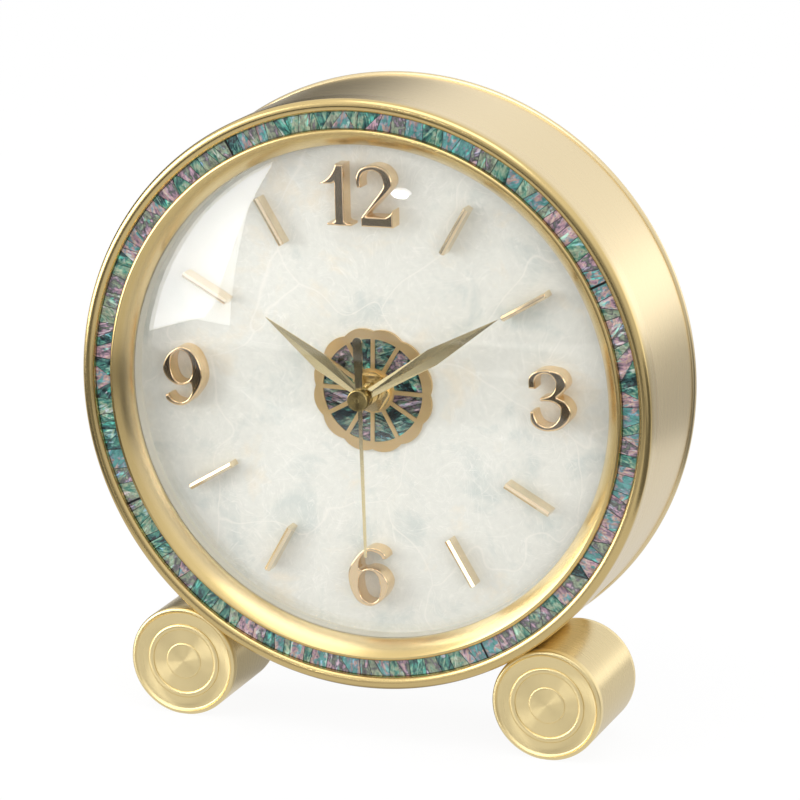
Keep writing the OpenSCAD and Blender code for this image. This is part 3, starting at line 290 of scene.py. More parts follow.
# Brightness of the surroundings by direction. Behind the clock it goes by the angle round the view to the
# back, which is what the drum's side mirrors; the camera itself sees plain white.
def makeWorld(p):
    world = bpy.data.worlds.new("studio")
    bpy.context.scene.world = world
    world.use_nodes = True
    tree = world.node_tree
    axes = addNode(tree, "SeparateXYZ", {0: addNode(tree, "TexCoord").outputs["Generated"]})
    x, y, z = (axes.outputs[key] for key in "XYZ")
    forward = addNode(tree, "Math", {0: y, 1: -1}, operation="MULTIPLY")
    back = brightnessRound(tree, x, z, p["skyBack"], p["skyPeak"])
    front = brightnessRound(tree, x, forward, p["skyFront"], p["skyPeak"])
    behind, above = (
        addNode(tree, "MapRange", {0: way, 1: low, 2: high, 3: 0, 4: 1}, interpolation_type="SMOOTHSTEP")
        for way, (low, high) in ((y, p["skyBehind"]), (z, p["skyAbove"])))
    level = addNode(tree, "Mix", {"Factor": behind, "A": front, "B": back}, data_type="FLOAT")
    level = addNode(tree, "Mix", {"Factor": above, "A": level, "B": p["skyTop"]}, data_type="FLOAT")
    seen = addNode(tree, "LightPath").outputs["Is Camera Ray"]
    strength = addNode(tree, "Mix", {"Factor": seen, "A": level, "B": 1.0}, data_type="FLOAT")
    setInputs(tree, tree.nodes["Background"], {"Color": (1, 1, 1, 1), "Strength": strength})


# Lamp that faces the clock; its radiance is what a mirror would show
def addLamp(name, azimuth, elevation, distance, width, height, radiance, shape, mirrored):
    toward = towards(azimuth, elevation)
    data = bpy.data.lights.new(name, "AREA")
    data.shape = shape
    data.size = width
    data.size_y = height
    data.energy = radiance * math.pi * width * height
    lamp = addObject(name, data)
    turn = toward.to_track_quat("Z", "Y").to_matrix().to_4x4()
    lamp.matrix_world = Matrix.Translation(Vector((0, faceY, axisZ)) + toward * distance) @ turn
    lamp.visible_glossy = mirrored


makeFloor(studio)
makeCards(studio)
makeWorld(studio)
for lamp in studio["lamps"]:
    addLamp(*lamp)
bpy.context.scene.view_settings.view_transform = "Standard"
print("studio lit")


# First corners of the cells of a rows by columns grid of points, wrapped where asked
def gridCells(rows, columns, closeRows, closeColumns):
    return np.meshgrid(np.arange(rows if closeRows else rows - 1),
                       np.arange(columns if closeColumns else columns - 1), indexing="ij")


# Quads of such a grid
def gridFaces(rows, columns, closeRows=False, closeColumns=False):
    i, j = gridCells(rows, columns, closeRows, closeColumns)
    n, m = (i + 1) % rows, (j + 1) % columns
    return np.stack([i * columns + j, i * columns + m, n * columns + m, n * columns + j], -1).reshape(-1, 4)


# The same quads with their grid places unwrapped, for a UV map: u = i * du, v = distance along the profile
def gridUvs(rows, columns, closeRows, closeColumns, du, lengths):
    i, j = gridCells(rows, columns, closeRows, closeColumns)
    u, v = np.stack([i, i, i + 1, i + 1], -1), np.stack([j, j + 1, j + 1, j], -1)
    return np.stack([u * du, lengths[v]], -1)


def newMesh(name, points, faces, uvs=None):
    mesh = bpy.data.meshes.new(name)
    mesh.from_pydata(points.reshape(-1, 3).tolist(), [], faces.tolist())
    if uvs is not None:
        mesh.uv_layers.new(name="turned").data.foreach_set("uv", uvs.reshape(-1).astype(np.float32))
    return mesh


def pointsOf(mesh):
    points = np.empty(len(mesh.vertices) * 3, np.float32)
    mesh.vertices.foreach_get("co", points)
    return points.reshape(-1, 3)


# Closes poles and seams where asked, turns all faces outwards, and shades smoothly up to the angle sharp
def finishMesh(mesh, merge, sharp):
    shape = bmesh.new()
    shape.from_mesh(mesh)
    if merge:
        bmesh.ops.remove_doubles(shape, verts=shape.verts, dist=1e-7)
    bmesh.ops.recalc_face_normals(shape, faces=shape.faces)
    shape.to_mesh(mesh)
    shape.free()
    mesh.shade_smooth()
    mesh.set_sharp_from_angle(angle=math.radians(sharp))


# Copy of a CAD node's mesh with its loose triangles joined; flat faces are made whole or cut to triangles
def joinedCopy(name, nodeName, whole=False, triangles=False):
    shape = bmesh.new()
    shape.from_mesh(nodes[nodeName].data)
    bmesh.ops.remove_doubles(shape, verts=shape.verts, dist=2e-6)
    if whole:
        bmesh.ops.dissolve_limit(shape, angle_limit=math.radians(1), verts=shape.verts, edges=shape.edges)
    if triangles:
        bmesh.ops.triangulate(shape, faces=shape.faces)
    mesh = bpy.data.meshes.new(name)
    shape.to_mesh(mesh)
    shape.free()
    return mesh


# Finished mesh as a piece on its body, in its material slot; stands names the CAD nodes that it stands for
def placePiece(name, mesh, material, stands=(), body="clock_case"):
    mesh.materials.clear()
    mesh.materials.append(material)
    obj = addObject(name, mesh)
    if stands:
        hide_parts(*stands)
    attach(obj, body)
    return obj


# Points of an arc about centre, from angle first to last; 0 is outwards and 90 is towards the front
def arcPoints(centre, radius, first, last, count):
    a = np.radians(np.linspace(first, last, count))
    return np.stack([centre[0] + radius * np.cos(a), centre[1] - radius * np.sin(a)], -1)


# Quadratic curve: p(t) = (1-t)^2 a + 2 t (1-t) b + t^2 c
def bendPoints(a, b, c, count):
    t = np.linspace(0, 1, count)[:, None]
    return (1 - t) ** 2 * np.array(a) + 2 * t * (1 - t) * np.array(b) + t * t * np.array(c)


# Turned piece: a profile point (r, y) in millimetres goes round the axis (cx, cz), in metres:
# p(t) = (cx + r sin t, y, cz + r cos t). One that isn't closed starts and ends on the axis, in a pole.
def turnedPiece(name, profile, steps, material, stands=(), body="clock_case", axis=None,
                closed=True, sharp=35.0):
    cx, cz = axis or (0, axisZ)
    t = np.linspace(0, 2 * np.pi, steps, endpoint=False)[:, None]
    r, y = profile[None, :, 0] * mm, profile[None, :, 1] * mm
    points = np.stack([cx + r * np.sin(t), y + 0 * t, cz + r * np.cos(t)], -1)
    legs = np.linalg.norm(np.diff(profile, axis=0, append=profile[:1]), axis=1)
    lengths = np.concatenate([[0], np.cumsum(legs)])
    uvs = gridUvs(steps, len(profile), True, closed, 2 * np.pi * profile[:, 0].mean() / steps, lengths)
    mesh = newMesh(name, points, gridFaces(steps, len(profile), True, closed), uvs)
    finishMesh(mesh, not closed, sharp)
    return placePiece(name, mesh, material, stands, body)


# Case: drum, bezel and lens. Millimetres, as in the part's source; only the crest is rounder here.
caseForm = {
    "rimR": 1.95, "channelW": 5.0, "innerRimW": 5.5, "innerRimH": 1.6, "innerRimFall": 5.5, "crestR": 1.2,
    "slopeBend": (0.42, 0.62), "lipT": 1.0, "bezelWall": 1.5, "seamDepth": 6.0, "sideDepth": 2.5,
    "inlayT": 1.2, "lensSeatW": 2.1, "lensT": 2.2, "lensGap": 0.2, "drumWall": 1.5, "fitGap": 0.05,
    "beadR": 1.3, "beadProud": 0.8, "ledgeW": 5.5, "ledgeT": 1.5, "steps": 480, "lensSteps": 320,
}
boardLow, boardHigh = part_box("dial_board")
case = {
    "out": caseR / mm, "face": faceY / mm, "seam": faceY / mm + caseForm["seamDepth"],
    "rear": drumHigh[1] / mm, "board": boardLow[1] / mm, "ledge": boardHigh[1] / mm,
    "front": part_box("lens")[0][1] / mm,
}
case["inner"] = case["out"] - caseForm["drumWall"]
case["channelOut"] = case["out"] - 2 * caseForm["rimR"]
case["channelIn"] = case["channelOut"] - caseForm["channelW"]
case["open"] = case["channelIn"] - caseForm["innerRimW"]
case["lensSeat"] = case["open"] + caseForm["lensSeatW"]
case["lip"] = case["face"] - caseForm["innerRimH"] + caseForm["innerRimFall"]
case["lensBack"] = case["lip"] + caseForm["lipT"]

# Satin lacquered brass: drawn, then brushed round and lacquered, so that its highlights are soft and broad
drumBrass = {
    "name": "satin lacquered brass", "colour": "EBD7AA", "roughness": 0.28, "spread": 0.012,
    "lines": (0.03, 9.0, 0.03), "height": 0.00005, "anisotropic": 0.4,
}
# Turned brass: a deeper, darker gold in front, which is painted shade, going over to the drum's paler brass
# down its side
bezelBrassShadedFront = {
    "name": "turned brass", "colour": "D9C086", "roughness": 0.24, "spread": 0.03,
    "lines": (5.0, 5.0), "height": 0.0001, "axis": (0, axisZ),
}
bezelSide = {"colour": "EBD7AA", "from": -0.5, "to": 2.5}  # millimetres behind the inlay's face


# Goes over from the front's colour to the side's between two depths
def tintSide(material, frontColour, p):
    tree = material.node_tree
    depth = addNode(tree, "SeparateXYZ", {0: addNode(tree, "TexCoord").outputs["Object"]})
    side = addNode(tree, "MapRange", {
        0: depth.outputs["Y"], 1: faceY + p["from"] * mm, 2: faceY + p["to"] * mm, 3: 0, 4: 1})
    colour = addNode(tree, "Mix", {
        "Factor": side, "A": hexColour(frontColour), "B": hexColour(p["colour"])}, data_type="RGBA")
    setInputs(tree, tree.nodes["Principled BSDF"], {"Base Color": colour.outputs["Result"]})
    return material


# From the seam back along the side, round the bead, and in over the ledge that holds the board
def drumProfile(f, c):
    bead = (c["out"] + f["beadProud"] - f["beadR"], c["rear"] - f["beadR"])
    start = math.degrees(math.acos((c["out"] - bead[0]) / f["beadR"]))
    side = np.stack([np.full(12, c["out"]), np.linspace(c["seam"], bead[1] - f["beadR"] * 1.2, 12)], -1)
    wall, lip, under = c["inner"], c["inner"] - f["ledgeW"], c["ledge"] + f["ledgeT"]
    inside = [[wall, c["rear"]], [wall, under], [lip, under], [lip, c["ledge"]], [wall, c["ledge"]],
              [wall, c["seam"]]]
    return np.concatenate([side, arcPoints(bead, f["beadR"], start, -90, 16), inside])


# From the lens's opening out over the crest, the channel and the outer rim, and back inside the drum
def bezelProfile(f, c):
    crest = np.array([c["channelIn"] - f["crestR"], c["face"] - f["innerRimH"]])
    start = np.array([c["open"], c["lip"]])
    hollow = c["face"] + f["inlayT"] + f["bezelWall"]
    fit, seat = c["inner"] - f["fitGap"], c["lensSeat"]
    outer, inner = fit - f["bezelWall"], seat + f["bezelWall"]
    return np.concatenate([
        bendPoints(start, start + (crest - start) * f["slopeBend"], crest, 20),
        arcPoints((crest[0], crest[1] + f["crestR"]), f["crestR"], 80, 0, 12),
        [[c["channelIn"], c["face"] + f["inlayT"]], [c["channelOut"], c["face"] + f["inlayT"]]],
        arcPoints((c["out"] - f["rimR"], c["face"]), f["rimR"], 180, 0, 28),
        [[c["out"], c["face"] + f["sideDepth"]], [c["out"], c["seam"]], [fit, c["seam"]], [fit, c["board"]],
         [outer, c["board"]], [outer, hollow], [inner, hollow], [inner, c["board"]],
         [seat, c["board"]], [seat, c["lensBack"]], [c["open"], c["lensBack"]]]])


# Domed glass: both faces are parts of one sphere, a lens thickness apart
def lensProfile(f, c):
    dome = c["open"] - f["lensGap"]
    sag = c["lensBack"] - c["front"]
    ball = (dome * dome + sag * sag) / (2 * sag)
    edge = math.degrees(math.asin(dome / ball))
    outer = arcPoints((0, c["front"] + ball), ball, 90, 90 - edge, 48)
    outer[0, 0] = 0
    seat = c["lensSeat"] - f["lensGap"]
    return np.concatenate([outer, [[seat, c["lensBack"]], [seat, c["lensBack"] + f["lensT"]]],
                           outer[::-1] + [0, f["lensT"]]])


# Clear mineral glass; shadows pass it, so that the dial is lit through it
def mineralGlass():
    material, tree, shader = newMaterial("mineral glass", "FFFFFF", 0, 0.0, Transmission_Weight=1.0, IOR=1.5)
    shadow = addNode(tree, "LightPath").outputs["Is Shadow Ray"]
    clear = addNode(tree, "BsdfTransparent")
    mix = addNode(tree, "MixShader", {0: shadow, 1: shader, 2: clear})
    setInputs(tree, tree.nodes["Material Output"], {0: mix})
    return material


turnedPiece("drum", drumProfile(caseForm, case), caseForm["steps"],
            workedSurface(**drumBrass), ("case_drum",))
turnedPiece("bezelRing", bezelProfile(caseForm, case), caseForm["steps"],
            tintSide(workedSurface(**bezelBrassShadedFront), bezelBrassShadedFront["colour"], bezelSide), ("bezel",))
turnedPiece("domedLens", lensProfile(caseForm, case), caseForm["lensSteps"],
            mineralGlass(), ("lens",), closed=False, sharp=10)
print("case and lens made")


# Shell inlay: strips of dark shell laid side by side in four lengths, on black glue. Millimetres and degrees.
inlay = {
    "seed": 7, "jointsAt": (29, -62, -152, 120), "jointGap": 0.5, "edgeGap": 0.12, "narrow": 2.0, "wide": 6.6,
    "most": 60, "widthShape": (1.5, 2.0),  # mostly narrow, and at most so many a length
    "slant": 0.9, "seam": 0.2, "sunk": 0.05, "edgeDip": 0.12, "skirt": 0.3, "sharp": 40,
    "across": 7, "along": 5,  # grid points of a strip
    "grainSlant": 16, "grainDepth": 40, "toneSpread": 0.03, "variety": 0.18, "darkest": 0.5,
    "tones": (0.14, 0.24, 0.32, 0.4, 0.5, 0.58, 0.66, 0.96, 0.8, 0.9),
    "glueDepth": 0.35, "glueOver": 0.1, "glueColour": "121214", "glueRoughness": 0.35, "glueSteps": 240,
}
# Dark shell's pattern; scales are repeats a millimetre along the grain and across it
shellLook = {
    "base": "3E7F78", "roughness": 0.2, "coat": 0.7, "coatRoughness": 0.05, "bump": 0.03,
    "fields": {  # scales, detail, distortion
        "streak": ((0.9, 0.22), 4.0, 0.7), "fine": ((2.4, 0.5), 3.0, 0.6), "cloud": ((0.35, 0.35), 2.0, 0.5),
        "waver": ((0.6, 0.6), 2.0, 0.0),
    },
    "waverBy": 1.6, "flakes": (0.7, 0.26), "flakeTone": 0.07, "streakTone": 0.12,
    "lineShade": (0.84, 1.12), "streakShade": 1.15,
    "hues": (
        (0.0, "1E3034"), (0.12, "3C6264"), (0.24, "4A8A7A"), (0.34, "7FA18A"), (0.44, "A3AE94"),
        (0.52, "7C8678"), (0.6, "5D5C60"), (0.68, "8E7C8C"), (0.76, "BE98A8"), (0.84, "C6AB98"),
        (0.92, "8290A2"), (1.0, "56928F"),
    ),
    "flashes": ((0.2, "62E8D6"), (0.45, "C8F6DC"), (0.7, "F6D4E4"), (0.9, "8ED0F4")),
    "flashShare": 0.75, "veinShare": 0.35, "veinWidth": 0.05, "veinColour": "101618",
}


# Dark shell (abalone): nacre cut across its layers. Each piece has its own tone; layers run as streaks
# along it, green and teal going over to grey, mauve and pink, with bright flashes and black veins.
def darkShell(name, variety, darkest, p):
    material, tree, shader = newMaterial(name, p["base"], 0.0, p["roughness"], Coat_Weight=p["coat"],
                                         Coat_Roughness=p["coatRoughness"])
    grain = addNode(tree, "Attribute", attribute_name="grain").outputs["Vector"]
    tone = addNode(tree, "Attribute", attribute_name="tone").outputs["Fac"]
    fields = {}
    for key, (scale, detail, distortion) in p["fields"].items():
        place = addNode(tree, "Mapping", {"Vector": grain, "Scale": (*scale, 1)})
        fields[key] = addNode(tree, "TexNoise", {
            "Vector": place, "Scale": 1.0, "Detail": detail, "Roughness": 0.6, "Distortion": distortion})
    streak, fine = fields["streak"], fields["fine"]
    bent = addNode(tree, "VectorMath", {0: fields["waver"].outputs["Color"], 3: p["waverBy"]},
                   operation="SCALE")
    bent = addNode(tree, "VectorMath", {0: grain, 1: bent}, operation="ADD")
    flakeAt = addNode(tree, "Mapping", {"Vector": bent, "Scale": (*p["flakes"], 1)})
    flakes = addNode(tree, "TexVoronoi", {"Vector": flakeAt, "Scale": 1.0})
    flake = addNode(tree, "SeparateColor", {0: flakes.outputs["Color"]})
    edge = addNode(tree, "TexVoronoi", {"Vector": flakeAt, "Scale": 1.0}, feature="DISTANCE_TO_EDGE")

    # place among the hues: the piece's tone, moved a little by its flakes, streaks and clouds
    place = tone
    for source, low, high, reach in ((flake, 0, 1, p["flakeTone"]), (streak, *noiseRange, p["streakTone"]),
                                     (fields["cloud"], *noiseRange, variety)):
        part = addNode(tree, "MapRange", {0: source, 1: low, 2: high, 3: -reach, 4: reach})
        place = addNode(tree, "Math", {0: place, 1: part}, operation="ADD")
    hue = setStops(addNode(tree, "ValToRGB", {0: place}), p["hues"])

    # darker in fine lines and between streaks, then flashes where streaks cross bright flakes, then veins
    shade, layer, bright, crest, vein = (
        addNode(tree, "MapRange", {0: source, 1: low, 2: high, 3: first, 4: last})
        for source, low, high, first, last in (
            (fine, *noiseRange, *p["lineShade"]), (streak, 0.34, 0.66, darkest, p["streakShade"]),
            (flake.outputs[2], 0.55, 0.9, 0, p["flashShare"]), (streak, 0.5, 0.66, 0, 1),
            (edge.outputs["Distance"], 0, p["veinWidth"], p["veinShare"], 0)))
    depth = addNode(tree, "Math", {0: shade, 1: layer}, operation="MULTIPLY")
    shaded = addNode(tree, "VectorMath", {0: hue, 3: depth}, operation="SCALE")
    flashHue = setStops(addNode(tree, "ValToRGB", {0: flake}), p["flashes"])
    glint = addNode(tree, "Math", {0: bright, 1: crest}, operation="MULTIPLY")
    lit = addNode(tree, "Mix", {"Factor": glint, "A": shaded, "B": flashHue}, data_type="RGBA")
    veined = addNode(tree, "Mix", {
        "Factor": vein, "A": lit.outputs["Result"], "B": hexColour(p["veinColour"])}, data_type="RGBA")
    bump = addNode(tree, "Bump", {"Strength": 0.6, "Distance": p["bump"] * mm, "Height": streak})
    setInputs(tree, shader, {"Base Color": veined.outputs["Result"], "Normal": bump})
    return material


# Tone of each point of a shell piece, and its place in the grain, which is turned by an angle a:
# (u cos a + v sin a, v cos a - u sin a, depth), in millimetres
def setGrain(mesh, u, v, a, depth, tone):
    place = [u * np.cos(a) + v * np.sin(a), v * np.cos(a) - u * np.sin(a), np.broadcast_to(depth, u.shape)]
    layers = {"grain": ("FLOAT_VECTOR", "vector", np.stack(place, -1)),
              "tone": ("FLOAT", "value", np.broadcast_to(tone, u.shape))}
    for name, (kind, key, values) in layers.items():
        layer = mesh.attributes.new(name, kind, "POINT")
        layer.data.foreach_set(key, values.reshape(-1).astype(np.float32))


# Starts and ends of the strips between two joints, each as (angle, slant)
def cutStrips(p, middle, joint, nextJoint, chance):
    gap = p["jointGap"] / 2
    span = ((nextJoint - joint) % 360) * np.pi / 180 * middle - 2 * gap
    widths = p["narrow"] + (p["wide"] - p["narrow"]) * chance.beta(*p["widthShape"], p["most"])
    count = int(np.searchsorted(np.cumsum(widths), span)) + 1
    cuts = np.concatenate([[0], np.cumsum(widths[:count]) / widths[:count].sum() * span])
    lean = chance.normal(0, p["slant"], count + 1)
    lean[[0, -1]] = 0
    first = joint * np.pi / 180 + gap / middle
    ends = np.stack([first + cuts / middle, lean], -1)
    return ends[:-1], ends[1:]


# Border of a strip's grid in order round it, and the quads of its face, skirt and floor
def stripForm(across, along):
    places = np.arange(across * along).reshape(across, along)
    border = np.concatenate([places[:, 0], places[-1, 1:], places[-2::-1, -1], places[0, -2:0:-1]])
    under = across * along + np.arange(len(border))
    skirt = np.stack([border, np.roll(border, -1), np.roll(under, -1), under], -1)
    face = gridFaces(across, along)
    return border, np.concatenate([face, skirt, face[:, ::-1] + across * along + len(border)])


# Each strip is a grid in (s, r): its two ends lie on slanted lines t = a + k (r - middle), so the point is
# (r sin t, y, r cos t). Its face dips towards its edges, and its skirt and floor lie in the glue.
def makeInlay(p, f, c):
    chance = np.random.default_rng(p["seed"])
    inner, outer = c["channelIn"] + p["edgeGap"], c["channelOut"] - p["edgeGap"]
    middle = (inner + outer) / 2
    joints = sorted((90 - a) % 360 for a in p["jointsAt"])
    lengths = [cutStrips(p, middle, *pair, chance) for pair in zip(joints, joints[1:] + joints[:1])]
    start, end = (np.concatenate(ends) for ends in zip(*lengths))
    count = len(start)
    s = np.linspace(0, 1, p["across"])
    r = np.linspace(inner, outer, p["along"])
    lean = (r - middle) / (outer - inner) * 2 / middle
    seam = p["seam"] / 2 / middle
    first = start[:, :1] + start[:, 1:] * lean + seam
    last = end[:, :1] + end[:, 1:] * lean - seam
    turn = first[:, None] + (last - first)[:, None] * s[:, None]
    edge = np.maximum(np.abs(2 * s - 1)[:, None], np.abs(2 * (r - inner) / (outer - inner) - 1)) ** 12
    height = c["face"] + p["sunk"] * chance.random((count, 1, 1)) + p["edgeDip"] * edge
    radius = np.broadcast_to(r, turn.shape)
    each = p["across"] * p["along"]
    top = np.stack([radius * np.sin(turn), height, radius * np.cos(turn)], -1).reshape(count, each, 3)
    base = top.copy()
    base[..., 1] = c["face"] + p["glueDepth"] + p["skirt"]
    border, faces = stripForm(p["across"], p["along"])
    points = np.concatenate([top, base[:, border], base], 1)
    faces = faces + (np.arange(count) * points.shape[1])[:, None, None]
    mesh = newMesh("shellStrips", points * mm + [0, 0, axisZ], faces.reshape(-1, 4))

    # grain: along the ring and across it, turned by a slant of its own, at its own depth in the shell
    slant = np.radians(chance.normal(0, p["grainSlant"], count))[:, None]
    depth = chance.random((count, 1)) * p["grainDepth"]
    tone = chance.choice(p["tones"], count)[:, None] + chance.normal(0, p["toneSpread"], (count, 1))
    order = np.concatenate([np.arange(each), border, np.arange(each)])
    along, across = (part.reshape(count, each)[:, order] for part in (turn * middle, radius))
    setGrain(mesh, along, across, slant, depth, tone)
    finishMesh(mesh, True, p["sharp"])
    shell = darkShell("polished dark shell", p["variety"], p["darkest"], shellLook)
    placePiece("shellStrips", mesh, shell, ("shell_inlay",))
    low, high = c["face"] + p["glueDepth"], c["face"] + f["inlayT"]
    left, right = inner - p["glueOver"], outer + p["glueOver"]
    bed = np.array([[left, low], [right, low], [right, high], [left, high]])
    glue = newMaterial("black resin glue", p["glueColour"], 0, p["glueRoughness"])[0]
    turnedPiece("inlayGlue", bed, p["glueSteps"], glue)


makeInlay(inlay, caseForm, case)
print("inlay laid")


# Dial: white shell veneer, with sizes in millimetres
dialLook = {
    "base": "E6E6DD", "warm": "ECE6D6", "cool": "D2D7D0", "roughness": 0.28, "coat": 0.4,
    "coatRoughness": 0.08, "patchMm": 19, "mottle": (0.955, 1.03), "bendMm": 6,
    "needle": "FCFAF2", "needleMm": 0.24, "needleLengthMm": 3.4, "needleShare": 0.45,
    "needleTurns": ((14, 0), (58, 31), (-36, 67), (-80, 93)),  # direction, place in the noise
    "pieceMm": 62, "seamMm": 0.4, "seamColour": "F6F3EA", "seamShare": 0.6,
}


# White shell veneer: ground thin and polished, cloudy, with cream patches, fine feathery crystals that catch
# the light, and pale curved seams where the pieces meet
def whiteShell(p):
    material, tree, shader = newMaterial("white shell veneer", p["base"], 0, p["roughness"],
                                         Coat_Weight=p["coat"], Coat_Roughness=p["coatRoughness"])
    place = centredCoordinates(tree)
    clouds, mottling, bending = (
        addNode(tree, "TexNoise", {
            "Vector": place, "Scale": scale / p["patchMm"], "Detail": detail, "Roughness": 0.6,
            "Distortion": 0.4})
        for scale, detail in ((1.0, 5.0), (9.0, 6.0), (0.8, 1.0)))  # scale against a patch
    tint = setStops(addNode(tree, "ValToRGB", {0: clouds}), (
        (0.32, p["cool"]), (0.46, p["base"]), (0.56, p["base"]), (0.68, p["warm"])))
    low, high = noiseRange
    darker, lighter = p["mottle"]
    mottle = addNode(tree, "MapRange", {0: mottling, 1: low, 2: high, 3: darker, 4: lighter})
    colour = addNode(tree, "VectorMath", {0: tint, 3: mottle}, operation="SCALE")
    bend = addNode(tree, "VectorMath", {0: bending.outputs["Color"], 1: (-0.5,) * 3}, operation="ADD")
    # the noise strays by about a quarter each way
    bend = addNode(tree, "VectorMath", {0: bend, 3: 4 * p["bendMm"]}, operation="SCALE")
    warped = addNode(tree, "VectorMath", {0: place, 1: bend}, operation="ADD")

    # fields of needles, each drawn out along its own direction and gathered in tufts
    for angle, offset in p["needleTurns"]:
        turned = addNode(tree, "VectorRotate", {"Vector": warped, "Angle": math.radians(angle)},
                         rotation_type="Y_AXIS")
        turned = addNode(tree, "Mapping", {
            "Vector": turned, "Location": (offset, 0, offset),
            "Scale": (1 / p["needleMm"], 1, 1 / p["needleLengthMm"])})
        needle = addNode(tree, "TexNoise", {"Vector": turned, "Scale": 1.0, "Detail": 3.0})
        tuft = addNode(tree, "TexNoise", {"Vector": turned, "Scale": 0.16, "Detail": 1.0})
        needle = addNode(tree, "MapRange", {0: needle, 1: 0.52, 2: 0.68, 3: 0, 4: p["needleShare"]})
        tuft = addNode(tree, "MapRange", {0: tuft, 1: 0.52, 2: 0.64, 3: 0, 4: 1})
        share = addNode(tree, "Math", {0: needle, 1: tuft}, operation="MULTIPLY")
        colour = addNode(tree, "Mix", {
            "Factor": share, "A": colour, "B": hexColour(p["needle"])}, data_type="RGBA").outputs["Result"]
    pieces = addNode(tree, "TexVoronoi", {"Vector": warped, "Scale": 1 / p["pieceMm"]},
                     feature="DISTANCE_TO_EDGE")
    seam = addNode(tree, "MapRange", {
        0: pieces.outputs["Distance"], 1: 0, 2: p["seamMm"] / p["pieceMm"], 3: p["seamShare"], 4: 0})
    colour = addNode(tree, "Mix", {
        "Factor": seam, "A": colour, "B": hexColour(p["seamColour"])}, data_type="RGBA").outputs["Result"]
    setInputs(tree, shader, {"Base Color": colour})
    return material


# Shell in the rosette's windows: each window has its own tone and grain, told by its place round the axis
windowLook = {
    "seed": 11, "count": 12, "lean": 60, "stretch": (0.6, 1.4), "depthStep": 3.7, "depthFrom": 50,
    "tones": (0.3, 0.66, 0.2, 0.62, 0.12, 0.3, 0.56, 0.08, 0.7, 0.14, 0.6, 0.24),
    "variety": 0.4, "darkest": 0.0,
}


def makeWindowShell(p):
    chance = np.random.default_rng(p["seed"])
    mesh = joinedCopy("windowShell", "rosette_shell")
    points = pointsOf(mesh) / mm - [0, 0, axisZ / mm]
    turn = np.degrees(np.arctan2(points[:, 0], points[:, 2]))
    window = np.floor(turn / (360 / p["count"])).astype(int) % p["count"]
    lean = np.radians(chance.uniform(-p["lean"], p["lean"], p["count"]))[window]
    setGrain(mesh, points[:, 0] * p["stretch"][0], points[:, 2] * p["stretch"][1], lean,
             window * p["depthStep"] + p["depthFrom"], np.array(p["tones"])[window])
    placePiece("windowShell", mesh,
               darkShell("rosette shell", p["variety"], p["darkest"], shellLook), ("rosette_shell",))


# Polished rose brass: cast, tumbled and plated, almost a mirror; the bars are painted paler than the figures,
# a painted reflection of the pale dial in their facets
roseBrass = {
    "name": "polished rose brass", "colour": "F4D9AE", "roughness": 0.07, "spread": 0.02,
    "lines": (2.0, 2.0, 2.0), "height": 0.0004,
}
roseBrassPaintedPale = dict(roseBrass, name="rose brass painted pale", colour="F3E2C2")
# Rosette brass: stamped and brushed round, so that it shines softly
rosetteBrass = {
    "name": "brushed rosette brass", "colour": "EACB94", "roughness": 0.34, "spread": 0.05,
    "lines": (7.0, 4.0), "height": 0.0004, "axis": (0, axisZ),
}
# Plain machined brass of the bush, nut and washer, with the lathe's rings
nutBrass = {
    "name": "machined brass", "colour": "FAE3B0", "roughness": 0.2, "spread": 0.03,
    "lines": (6.0, 6.0), "height": 0.0003, "axis": (0, axisZ),
}
# Hand brass: stamped and polished, with faint marks
handBrass = {
    "name": "polished hand brass", "colour": "EFDFB0", "roughness": 0.13, "spread": 0.03,
    "lines": (1.4, 1.4, 1.4), "height": 0.0003,
}
figures = {"figure12": "numeral_12", "figure3": "numeral_3", "figure6": "numeral_6", "figure9": "numeral_9"}
figureForm = {"step": 0.12, "reach": 0.5, "rise": 0.42, "sharp": 60}  # millimetres, degrees
barForm = {"edge": 0.1, "sharp": 40}


# Front outline of a node as line segments (x, z), and the depth of its front and back, all in millimetres
def frontOutline(nodeName):
    mesh = joinedCopy("outline", nodeName, triangles=True)
    points = pointsOf(mesh).astype(float) / mm
    corners = np.empty(len(mesh.loops), int)
    mesh.loops.foreach_get("vertex_index", corners)
    bpy.data.meshes.remove(mesh)
    front = points[:, 1].min()
    faces = corners.reshape(-1, 3)
    faces = faces[(points[faces][:, :, 1] < front + 0.01).all(1)]
    sides = np.sort(faces[:, [[0, 1], [1, 2], [2, 0]]].reshape(-1, 2), 1)
    pairs, uses = np.unique(sides, axis=0, return_counts=True)
    return points[pairs[uses == 1]][:, :, [0, 2]], front, points[:, 1].max()


# Distance of each place from the outline, whether it lies inside, and the nearest point of the outline
def outlineDistance(segments, place):
    a, b = segments[:, 0], segments[:, 1]
    leg = b - a
    t = np.clip(((place[:, None] - a) * leg).sum(-1) / (leg * leg).sum(-1), 0, 1)
    near = a + t[..., None] * leg
    gap = np.linalg.norm(place[:, None] - near, axis=-1)
    best = gap.argmin(1)
    x, z = place[:, 0, None], place[:, 1, None]
    slope = leg[:, 0] / np.where(leg[:, 1] == 0, 1, leg[:, 1])
    crossed = ((a[:, 1] > z) != (b[:, 1] > z)) & (x < a[:, 0] + (z - a[:, 1]) * slope)
    rows = np.arange(len(place))
    return gap[rows, best], crossed.sum(1) % 2 == 1, near[rows, best]


